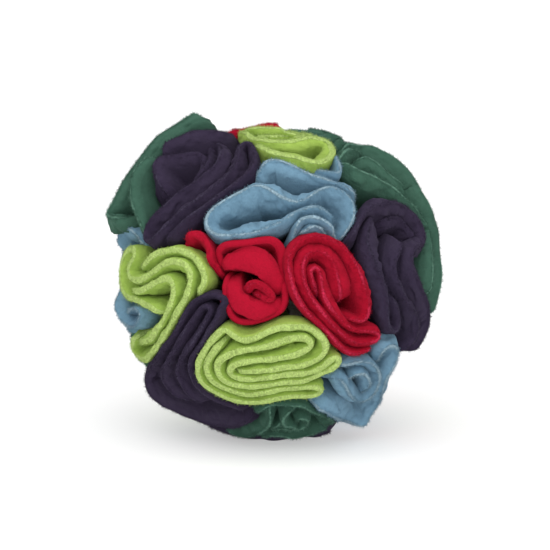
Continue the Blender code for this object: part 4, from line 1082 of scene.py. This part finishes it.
def twist_and_fluff(tree):
    """Shader group: the slanting twist of sewing thread, and the loose clumps of filling fibre."""
    given, wanted = sockets(tree, {"Colour": "NodeSocketColor", "Strand Size": 0.0002}, SHADER_OUTPUTS)
    position = put(tree, "ShaderNodeTexCoord").outputs["Object"]
    scale = calc(tree, "DIVIDE", 1.0, given["Strand Size"])
    strands = put(tree, "ShaderNodeTexNoise", {"Vector": position, "Scale": scale, "Detail": 3.0,
                                               "Roughness": 0.6, "Distortion": 1.2}).outputs["Fac"]
    fluff = grain(tree, position, FLUFF_SIZE, 2.0)
    tone = toned(tree, (strands, *STRAND_TONE), (fluff, *FLUFF_TONE))
    tree.links.new(blend(tree, 1.0, given["Colour"], tone, "MULTIPLY"), wanted["Colour"])
    tree.links.new(strands, wanted["Height"])
    tree.links.new(calc(tree, "MULTIPLY_ADD", strands, *THREAD_ROUGHNESS), wanted["Roughness"])


# Materials of one colour: the setting of the colour, the shader group and its own values, the strength and
# size of the bumps, and the sheen
PLAIN_FINISHES = {
    "Calico": ("calico_colour", "Plain weave", plain_weave, {}, 0.5, 0.0002, 0.1),
    "Sewing thread": ("thread_colour", "Twist and fluff", twist_and_fluff, {}, 0.6, 0.0001, 0.2),
    "Filling fibre": ("filling_colour", "Twist and fluff", twist_and_fluff, {"Strand Size": 0.0016}, 0.9,
                      0.0015, 0.3),
}


def plain_material(name):
    """The material of the cover, the threads or the filling."""
    setting, group_name, build, values, bump_strength, bump_size, sheen = PLAIN_FINISHES[name]
    colour = (*getattr(bpy.context.scene.foraging_ball, setting), 1.0)
    group = once(group_name, "ShaderNodeTree", build)
    return soft_finish(name, group, {"Colour": colour, **values}, bump_strength, bump_size, sheen, colour)


def shape_tree(tree, inputs):
    """A geometry tree's sockets: the mesh it starts from, its own inputs and its material."""
    given = {"Geometry": "NodeSocketGeometry", **inputs, "Material": "NodeSocketMaterial"}
    return sockets(tree, given, {"Geometry": "NodeSocketGeometry"})


def end_tree(tree, geometry, given, wanted):
    """Every tree ends by realizing its instances and setting their material."""
    real = put(tree, "GeometryNodeRealizeInstances", {"Geometry": geometry})
    painted = put(tree, "GeometryNodeSetMaterial",
                  {"Geometry": real.outputs[0], "Material": given["Material"]})
    smooth = put(tree, "GeometryNodeSetShadeSmooth", {"Geometry": painted.outputs[0]})
    tree.links.new(smooth.outputs[0], wanted["Geometry"])


def tube(tree, path, radius):
    """A thread of a radius along a curve, closed at both ends."""
    around = put(tree, "GeometryNodeCurvePrimitiveCircle", {"Resolution": THREAD_SIDES, "Radius": radius})
    made = put(tree, "GeometryNodeCurveToMesh", {"Curve": path, "Profile Curve": around.outputs[0],
                                                 "Fill Caps": True})
    return made.outputs[0]


def edge_fibres(tree):
    """Geometry nodes: short fibres that stand on the cut edges."""
    given, wanted = shape_tree(tree, {"Fibres per Square Metre": 500000.0, "Length": 0.0008, "Radius": 0.0001,
                                      "Lean": 0.9, "Seed": 1})
    cut = put(tree, "GeometryNodeInputNamedAttribute", {"Name": "cut"}, data_type="FLOAT").outputs[0]
    middle = calc(tree, "POWER", cut, FIBRE_CUT_POWER)
    density = calc(tree, "MULTIPLY", middle, given["Fibres per Square Metre"])
    spots = put(tree, "GeometryNodeDistributePointsOnFaces",
                {"Mesh": given["Geometry"], "Density": density, "Seed": given["Seed"]})
    fibre = put(tree, "GeometryNodeMeshCone", {"Vertices": FIBRE_SIDES, "Depth": given["Length"],
                                               "Radius Top": 0.0, "Radius Bottom": given["Radius"]})
    lean = put(tree, "ShaderNodeCombineXYZ", {0: given["Lean"], 1: given["Lean"], 2: math.pi}).outputs[0]
    back = put(tree, "ShaderNodeVectorMath", {0: lean, "Scale": -1.0}, operation="SCALE").outputs[0]
    tilt = put(tree, "FunctionNodeRandomValue", {0: back, 1: lean, "Seed": FIBRE_TILT_SEED},
               data_type="FLOAT_VECTOR")
    turned = put(tree, "FunctionNodeRotateRotation", {"Rotation": spots.outputs["Rotation"],
                                                      "Rotate By": tilt.outputs[0]}, rotation_space="LOCAL")
    least, most = FIBRE_SIZES
    size = put(tree, "FunctionNodeRandomValue", {2: least, 3: most, "Seed": FIBRE_SIZE_SEED},
               data_type="FLOAT")
    grown = put(tree, "GeometryNodeInstanceOnPoints",
                {"Points": spots.outputs["Points"], "Instance": fibre.outputs["Mesh"],
                 "Rotation": turned.outputs[0], "Scale": size.outputs[1]})
    end_tree(tree, grown.outputs[0], given, wanted)


def wound_thread(tree):
    """Geometry nodes: a thread wound in close turns round a stem."""
    given, wanted = shape_tree(tree, {"Turns": 3.0, "Ring Radius": 0.006, "Thread Radius": 0.0003,
                                      "Rise": 0.0005})
    rise = calc(tree, "MULTIPLY", given["Turns"], given["Rise"])
    path = put(tree, "GeometryNodeCurveSpiral",
               {"Resolution": 20, "Rotations": given["Turns"], "Start Radius": given["Ring Radius"],
                "End Radius": given["Ring Radius"], "Height": rise})
    end_tree(tree, tube(tree, path.outputs[0], given["Thread Radius"]), given, wanted)


def overcast_stitches(tree):
    """Geometry nodes: slanting stitches spaced evenly round a ring."""
    given, wanted = shape_tree(tree, {"Stitches": 60, "Ring Radius": 0.0195, "Thread Radius": 0.0003,
                                      "Stitch Height": 0.0024, "Slant": 0.6})
    ring = put(tree, "GeometryNodeCurvePrimitiveCircle", {"Resolution": 96, "Radius": given["Ring Radius"]})
    spots = put(tree, "GeometryNodeCurveToPoints", {"Curve": ring.outputs[0], "Count": given["Stitches"]})
    half = calc(tree, "MULTIPLY", given["Stitch Height"], 0.5)
    lower = put(tree, "ShaderNodeCombineXYZ", {0: calc(tree, "MULTIPLY", half, -1.0)}).outputs[0]
    upper = put(tree, "ShaderNodeCombineXYZ", {0: half}).outputs[0]
    path = put(tree, "GeometryNodeCurvePrimitiveLine", {"Start": lower, "End": upper})
    path = put(tree, "GeometryNodeResampleCurve", {"Curve": path.outputs[0], "Count": 5})
    upright = put(tree, "FunctionNodeAlignRotationToVector", {"Vector": spots.outputs["Tangent"]}, axis="X")
    slant = put(tree, "ShaderNodeCombineXYZ", {1: given["Slant"]}).outputs[0]
    turned = put(tree, "FunctionNodeRotateRotation", {"Rotation": upright.outputs[0], "Rotate By": slant},
                 rotation_space="LOCAL")
    laid = put(tree, "GeometryNodeInstanceOnPoints",
               {"Points": spots.outputs["Points"], "Rotation": turned.outputs[0],
                "Instance": tube(tree, path.outputs[0], given["Thread Radius"])})
    end_tree(tree, laid.outputs[0], given, wanted)


def grow(name, source, tree_name, build, values):
    """Run a geometry node tree on a mesh and keep the result as a plain mesh."""
    item = linked(name, source)
    modifier = item.modifiers.new("Shape", "NODES")
    modifier.node_group = once(tree_name, "GeometryNodeTree", build)
    for socket in modifier.node_group.interface.items_tree:
        if socket.in_out == "INPUT" and socket.name in values:
            modifier[socket.identifier] = values[socket.name]
    evaluated = item.evaluated_get(bpy.context.evaluated_depsgraph_get())
    result = bpy.data.meshes.new_from_object(evaluated)
    item.modifiers.remove(modifier)
    item.data = result
    result.name = name
    return item


def turned_profile(profile, segments, pucker):
    """A profile of (radius, height) turned round Z; its ends lie on the axis."""
    mesh = bmesh.new()
    rings = []
    for radius, height in profile:
        if radius == 0.0:
            rings.append([mesh.verts.new((0.0, 0.0, height))])
            continue
        ring = []
        for i in range(segments):
            angle = 2 * math.pi * i / segments
            here = radius * (1 - pucker(radius, height, angle))
            ring.append(mesh.verts.new((here * math.cos(angle), here * math.sin(angle), height)))
        rings.append(ring)
    for here, there in zip(rings, rings[1:]):
        for i in range(segments):
            n = (i + 1) % segments
            corners = (here[i % len(here)], here[n % len(here)], there[n % len(there)], there[i % len(there)])
            unique = list(dict.fromkeys(corners))
            if len(unique) > 2:
                mesh.faces.new(unique)
    return mesh


def arc(radius, start, end, steps):
    """Points (radius, height) on a circle round the core's middle."""
    angles = [start + (end - start) * i / steps for i in range(steps + 1)]
    points = [(radius * math.cos(a), radius * math.sin(a)) for a in angles]
    return [(0.0 if abs(x) < radius * ZERO_SHARE else x, z) for x, z in points]


class FleeceStyle(bpy.types.PropertyGroup):
    """The look of one colour of fleece."""

    face_colour: FloatVectorProperty(name="Face Colour", subtype="COLOR",
                                     description="Colour of the cloth's brushed faces",
                                     default=(0.3, 0.3, 0.3), min=0.0, max=1.0)
    # The edge colour: the cut edge's own lighter nap together with a painted highlight along each fold's
    # crest
    edge_and_highlight_colour: FloatVectorProperty(name="Edge Colour", description="Colour of the cloth's cut edge",
                                     subtype="COLOR", default=(0.4, 0.4, 0.4), min=0.0, max=1.0)
    edge_width: FloatProperty(name="Edge Width", description="Width of the cut edge with its loose nap",
                              subtype="DISTANCE", default=0.0026, min=0.0015, max=0.004)
    # How wide a band of the crest takes the edge colour with its painted highlight
    edge_and_highlight_share: FloatProperty(name="Edge Share", subtype="FACTOR",
                              description="Share of the cut edge that shows its own colour",
                              default=0.25, min=0.0, max=1.0)
    nap_size: FloatProperty(name="Nap Size", description="Size of the tufts in the brushed nap",
                            subtype="DISTANCE", default=0.0009, min=0.0002, max=0.004)
    # Painted shade: how much the colour is darkened deep in a fold
    painted_valley_shade: FloatProperty(name="Valley Shade", subtype="FACTOR",
                                description="How much darker the cloth is deep in a fold",
                                default=0.3, min=0.0, max=1.0)
    sheen: FloatProperty(name="Sheen", description="Weight of the soft sheen of the nap", subtype="FACTOR",
                         default=0.3, min=0.0, max=1.0)


class ForagingBall(bpy.types.PropertyGroup):
    """Sizes and colours of the foraging ball and its stage."""

    navy: PointerProperty(type=FleeceStyle, name="Navy Fleece", description="Look of the navy fleece")
    green: PointerProperty(type=FleeceStyle, name="Green Fleece", description="Look of the dark green fleece")
    lime: PointerProperty(type=FleeceStyle, name="Lime Fleece", description="Look of the lime fleece")
    blue: PointerProperty(type=FleeceStyle, name="Blue Fleece", description="Look of the light blue fleece")
    red: PointerProperty(type=FleeceStyle, name="Red Fleece", description="Look of the red fleece")
    square_side: FloatProperty(name="Square Side", description="Side of the square each rosette is cut from",
                               subtype="DISTANCE", default=0.083, min=0.05, max=0.2)
    calico_colour: FloatVectorProperty(name="Calico Colour", description="Colour of the core's cover",
                                       subtype="COLOR", default=(0.62, 0.59, 0.52), min=0.0, max=1.0)
    thread_colour: FloatVectorProperty(name="Thread Colour", description="Colour of the sewing thread",
                                       subtype="COLOR", default=(0.30, 0.28, 0.25), min=0.0, max=1.0)
    filling_colour: FloatVectorProperty(name="Filling Colour", description="Colour of the filling fibre",
                                        subtype="COLOR", default=(0.72, 0.71, 0.68), min=0.0, max=1.0)
    fibre_length: FloatProperty(name="Fibre Length", description="Length of the loose fibres on cut edges",
                                subtype="DISTANCE", default=0.0013, min=0.0002, max=0.003)
    fibre_count: IntProperty(name="Fibres", description="Loose fibres on each rosette, about",
                             default=2600, min=100, max=8000)
    thread_turns: IntProperty(name="Thread Turns", description="Turns of thread round each pinched stem",
                              default=3, min=1, max=8)
    stitches: IntProperty(name="Seam Stitches", description="Overcast stitches round the core's seam",
                          default=64, min=12, max=200)
    lens: FloatProperty(name="Lens", description="Focal length of the camera in millimetres",
                        subtype="DISTANCE_CAMERA", default=400.0, min=50.0, max=600.0)
    key_strength: FloatProperty(name="Main Light", description="Strength of the soft light from above",
                                default=1.9, min=0.0, max=10.0)
    fill_strength: FloatProperty(name="Front Light", description="Strength of the soft light from the front",
                                 default=0.95, min=0.0, max=10.0)
    room_strength: FloatProperty(name="Room Light", description="Strength of the even light all round",
                                 default=0.5, min=0.0, max=5.0)
    floor_lift: FloatProperty(name="Floor Lift", subtype="FACTOR",
                              description="How much the floor is lifted towards white",
                              default=0.44, min=0.0, max=1.0)


# Each fleece's colours. The edge colour, lighter than the face, is partly the cut edge's own nap and partly a
# painted highlight along each crest; the painted valley shade darkens the folds.
FLEECE_LOOKS = {
    "navy": {"face_colour": (0.034, 0.024, 0.050), "edge_and_highlight_colour": (0.058, 0.046, 0.082), "edge_width": 0.0020,
             "edge_and_highlight_share": 0.12},
    "green": {"face_colour": (0.046, 0.115, 0.080), "edge_and_highlight_colour": (0.130, 0.270, 0.200),
              "edge_width": 0.0019, "edge_and_highlight_share": 0.24},
    "lime": {"face_colour": (0.345, 0.500, 0.095), "edge_and_highlight_colour": (0.470, 0.620, 0.190), "edge_width": 0.0031,
             "edge_and_highlight_share": 0.55, "painted_valley_shade": 0.35},
    "blue": {"face_colour": (0.165, 0.300, 0.410), "edge_and_highlight_colour": (0.340, 0.480, 0.560), "edge_width": 0.0019,
             "edge_and_highlight_share": 0.25},
    "red": {"face_colour": (0.395, 0.003, 0.022), "edge_and_highlight_colour": (0.600, 0.025, 0.075), "edge_width": 0.0021,
            "edge_and_highlight_share": 0.20, "sheen": 0.15},
}


def make_floor(look):
    """A wide pale floor, lifted towards white."""
    mesh = bmesh.new()
    bmesh.ops.create_circle(mesh, cap_ends=True, segments=FLOOR_SEGMENTS, radius=FLOOR_RADIUS)
    data = bpy.data.meshes.new("floor")
    mesh.to_mesh(data)
    mesh.free()
    floor = linked("floor", data)
    material = bpy.data.materials.new("Pale floor")
    material.use_nodes = True
    tree = material.node_tree
    shader = tree.nodes["Principled BSDF"]
    shader.inputs["Roughness"].default_value = 0.9
    shader.inputs["Specular IOR Level"].default_value = 0.1
    position = put(tree, "ShaderNodeTexCoord").outputs["Object"]
    tone = calc(tree, "MULTIPLY_ADD", grain(tree, position, FLOOR_GRAIN, 2.0), *FLOOR_TONE)
    tree.links.new(put(tree, "ShaderNodeCombineColor", {0: tone, 1: tone, 2: tone}).outputs[0],
                   shader.inputs["Base Color"])
    shader.inputs["Emission Strength"].default_value = look.floor_lift
    shader.inputs["Emission Color"].default_value = (1.0, 1.0, 1.0, 1.0)
    data.materials.append(material)


def make_surroundings(look):
    """White all round where it is seen, and a weaker even light for everything else."""
    world = bpy.data.worlds.new("Studio")
    bpy.context.scene.world = world
    world.use_nodes = True
    tree = world.node_tree
    path = put(tree, "ShaderNodeLightPath").outputs
    seen = calc(tree, "MAXIMUM", path["Is Camera Ray"],
                calc(tree, "MAXIMUM", path["Is Glossy Ray"], path["Is Transmission Ray"]))
    strength = calc(tree, "MULTIPLY_ADD", seen, 1.0 - look.room_strength, look.room_strength)
    tree.nodes["Background"].inputs["Color"].default_value = (1.0, 1.0, 1.0, 1.0)
    tree.links.new(strength, tree.nodes["Background"].inputs["Strength"])


def make_lights(look):
    """Two wide soft lights, one from above and one from the front."""
    for name, strength, turn, rise, spread in LIGHTS:
        lamp = bpy.data.lights.new(name, "SUN")
        lamp.energy = getattr(look, strength)
        lamp.angle = math.radians(spread)
        item = linked(name, lamp)
        item.rotation_euler = (math.radians(90 - rise), 0.0, math.radians(turn))


def make_camera(look):
    """A long lens that frames the ball as the photograph does."""
    camera = bpy.data.cameras.new("camera")
    camera.lens = look.lens
    camera.sensor_width = SENSOR_WIDTH
    scale = FOLD_RADIUS / PHOTO_RADIUS_PX
    right, up, near = view_to_world(np.eye(3))
    aim = np.array(CENTRE) + right * scale * (PHOTO_SIZE_PX / 2 - PHOTO_MIDDLE_PX[0])
    aim = aim + up * scale * (PHOTO_MIDDLE_PX[1] - PHOTO_SIZE_PX / 2)
    distance = scale * PHOTO_SIZE_PX * look.lens / camera.sensor_width
    item = linked("camera", camera)
    item.location = Vector(aim + near * distance)
    item.rotation_euler = (QUARTER_TURN - VIEW_TILT, 0.0, 0.0)
    bpy.context.scene.camera = item


class BALL_OT_stage(bpy.types.Operator):
    """Make the floor, the lights and the camera"""

    bl_idname = "foraging_ball.stage"
    bl_label = "Make Stage"

    def execute(self, context):
        look = context.scene.foraging_ball
        context.scene.view_settings.view_transform = "Standard"
        make_floor(look)
        make_surroundings(look)
        make_lights(look)
        make_camera(look)
        return {"FINISHED"}


def lumps(radius, height, turn):
    """How far the filling dents in, as a share of its radius."""
    waves = math.prod(math.sin(count * turn + rate * height) for count, rate in LUMP_WAVES)
    return LUMP_SHARE * (1.0 + waves)


class BALL_OT_filling(bpy.types.Operator):
    """Make the filling, a lumpy ball with a groove all round for the seam allowance of the cover"""

    bl_idname = "foraging_ball.filling"
    bl_label = "Make Filling"

    def execute(self, context):
        radius = COVER_INSIDE - TOUCH_GAP
        groove = COVER_INSIDE - SEAM_ALLOWANCE - 3 * TOUCH_GAP - 2 * SEAM_THREAD_RADIUS
        half_height = TOUCH_GAP / 2 + COVER_THICKNESS + TOUCH_GAP
        angle = math.asin(half_height / radius)
        profile = arc(radius, QUARTER_TURN, angle, FILLING_ARC_STEPS)
        profile += [(groove, half_height), (groove, -half_height)]
        profile += arc(radius, -angle, -QUARTER_TURN, FILLING_ARC_STEPS)
        mesh = turned_profile(profile, FILLING_SEGMENTS, lumps)
        stuffing = new_object("filling", mesh, plain_material("Filling fibre"))
        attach(stuffing, "root")
        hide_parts("core_stuffing")
        return {"FINISHED"}


def gathers(radius, height, turn):
    """How far the cover is drawn in near its seam, as a share of its radius."""
    near_seam = math.exp(-abs(height) / SEAM_GATHER_REACH)
    return near_seam * SEAM_GATHER_SHARE * (0.5 + 0.5 * math.sin(SEAM_GATHERS * turn))


class BALL_OT_covers(bpy.types.Operator):
    """Make the two halves of the core's cover, each with its seam allowance turned in"""

    bl_idname = "foraging_ball.covers"
    bl_label = "Make Cover"

    def execute(self, context):
        half_gap = TOUCH_GAP / 2
        rim_angle = math.asin(half_gap / COVER_RADIUS)
        inner_angle = math.asin((half_gap + COVER_THICKNESS) / COVER_INSIDE)
        cup = arc(COVER_RADIUS, QUARTER_TURN, rim_angle, COVER_ARC_STEPS)
        cup += [(COVER_INSIDE - SEAM_ALLOWANCE * s, half_gap) for s in (0.0, 0.5, 1.0)]
        cup += [(COVER_INSIDE - SEAM_ALLOWANCE * s, half_gap + COVER_THICKNESS) for s in (1.0, 0.5)]
        cup += arc(COVER_INSIDE, inner_angle, QUARTER_TURN, COVER_ARC_STEPS)
        for name, side in (("upper", 1.0), ("lower", -1.0)):
            mesh = turned_profile([(x, side * z) for x, z in cup], COVER_SEGMENTS, gathers)
            cover = new_object("cover_" + name, mesh, plain_material("Calico"))
            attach(cover, "root")
            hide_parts("core_cover_" + name)
        return {"FINISHED"}


class BALL_OT_seam(bpy.types.Operator):
    """Make the overcast stitches through both seam allowances of the cover"""

    bl_idname = "foraging_ball.seam"
    bl_label = "Stitch Seam"

    def execute(self, context):
        radius = COVER_INSIDE - SEAM_ALLOWANCE - TOUCH_GAP - SEAM_THREAD_RADIUS
        source = bpy.data.meshes.new("seam_stitches")
        seam = grow("seam_stitches", source, "Overcast stitches", overcast_stitches,
                    {"Stitches": context.scene.foraging_ball.stitches, "Ring Radius": radius,
                     "Thread Radius": SEAM_THREAD_RADIUS / 2, "Stitch Height": STITCH_HEIGHT,
                     "Slant": STITCH_SLANT, "Material": plain_material("Sewing thread")})
        seam.data.transform(Matrix.Translation(CENTRE))
        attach(seam, "root")
        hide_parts("core_seam_thread")
        return {"FINISHED"}


class BALL_OT_rosettes(bpy.types.Operator):
    """Make every fleece rosette with the loose fibres on its cut edges"""

    bl_idname = "foraging_ball.rosettes"
    bl_label = "Make Rosettes"

    def execute(self, context):
        look = context.scene.foraging_ball
        entries = all_rosettes()
        lines = [cloth_line(line) for entry in entries for line in entry[3]]
        shapes = []
        for name, _, _, own in entries:
            given = list(FACE_SHAPES.get(name, ()))
            shapes += given + [PLAIN_SHAPE] * (len(own) - len(given))
        rooms = face_rooms(lines, np.array(shapes)[:, 0])
        first = 0
        for number, (name, fleece, axis, own) in enumerate(entries):
            style = fleece_style(fleece)
            shells = []
            for k in range(first, first + len(own)):
                shells.append(cloth_shell(lines[k], rooms[k], shapes[k], axis, style, SEEDS_PER_LINE * k))
            first += len(own)
            shells.append(stem_shell(axis, number))
            material = fleece_material(fleece)
            piece = join_shells(name.replace("rosette", "cloth"), shells, material)
            cut_length = sum(CLOTH_STEP * len(lines[k][0]) for k in range(first - len(own), first))
            density = look.fibre_count / (cut_length * style.edge_width)
            fibres = grow(name.replace("rosette", "fibres"), piece.data, "Edge fibres", edge_fibres,
                          {"Fibres per Square Metre": density, "Length": look.fibre_length,
                           "Seed": number + 1, "Material": material})
            for item in (piece, fibres):
                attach(item, "root")
            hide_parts(name)
        return {"FINISHED"}


class BALL_OT_pinch_threads(bpy.types.Operator):
    """Wind the thread round the pinched stem of every rosette"""

    bl_idname = "foraging_ball.pinch_threads"
    bl_label = "Wind Pinch Threads"

    def execute(self, context):
        look = context.scene.foraging_ball
        names = [row[0] for row in FRONT_ROSETTES + HIDDEN_ROSETTES]
        radius = PINCH_THREAD_RADIUS / 2
        ring = STEM_RADIUS + TOUCH_GAP + PINCH_THREAD_RADIUS
        height = PINCH_THREAD_RADIUS + TOUCH_GAP + ring**2 / (2 * COVER_RADIUS)
        rise = 2 * PINCH_THREAD_RADIUS / look.thread_turns
        source = bpy.data.meshes.new("thread_start")
        for name, axis in zip(names, spread_directions()):
            thread = grow(name.replace("rosette", "winding"), source, "Wound thread", wound_thread,
                          {"Turns": float(look.thread_turns), "Ring Radius": ring - radius, "Rise": rise,
                           "Thread Radius": radius, "Material": plain_material("Sewing thread")})
            side, cross = frame_of(axis)
            place = Matrix((side, cross, axis)).transposed().to_4x4()
            foot = Vector(axis) * (COVER_RADIUS + TOUCH_GAP + height - PINCH_THREAD_RADIUS) + CENTRE
            thread.data.transform(Matrix.Translation(foot) @ place)
            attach(thread, "root")
            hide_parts(name.replace("rosette", "pinch_thread"))
        return {"FINISHED"}


class BALL_PT_panel(bpy.types.Panel):
    """The foraging ball's looks and steps"""

    bl_label = "Foraging Ball"
    bl_idname = "BALL_PT_panel"
    bl_space_type = "VIEW_3D"
    bl_region_type = "UI"
    bl_category = "Foraging ball"

    def draw(self, context):
        look = context.scene.foraging_ball
        for fleece in FLEECE_LOOKS:
            box = self.layout.box()
            box.label(text=fleece.capitalize() + " fleece")
            style = getattr(look, fleece)
            for key in ("face_colour", "edge_and_highlight_colour", "edge_width", "edge_and_highlight_share", "nap_size", "painted_valley_shade",
                        "sheen"):
                box.prop(style, key)
        for key in ("square_side", "calico_colour", "thread_colour", "filling_colour", "fibre_length",
                    "fibre_count", "thread_turns", "stitches", "lens", "key_strength", "fill_strength",
                    "room_strength", "floor_lift"):
            self.layout.prop(look, key)
        for step in STEPS:
            self.layout.operator(step.bl_idname)


STEPS = (BALL_OT_stage, BALL_OT_filling, BALL_OT_covers, BALL_OT_seam, BALL_OT_rosettes,
         BALL_OT_pinch_threads)
CLASSES = (FleeceStyle, ForagingBall, *STEPS, BALL_PT_panel)


def register():
    """Register the classes and give the scene its settings."""
    for kind in CLASSES:
        bpy.utils.register_class(kind)
    bpy.types.Scene.foraging_ball = PointerProperty(type=ForagingBall)


def unregister():
    """Take the settings and the classes away again."""
    del bpy.types.Scene.foraging_ball
    for kind in reversed(CLASSES):
        bpy.utils.unregister_class(kind)


def main():
    """Make the whole object step by step."""
    register()
    for fleece, values in FLEECE_LOOKS.items():
        style = fleece_style(fleece)
        for key, value in values.items():
            setattr(style, key, value)
    bpy.ops.foraging_ball.stage()
    bpy.ops.foraging_ball.filling()
    bpy.ops.foraging_ball.covers()
    bpy.ops.foraging_ball.seam()
    bpy.ops.foraging_ball.rosettes()
    bpy.ops.foraging_ball.pinch_threads()


if __name__ == "__main__":
    main()
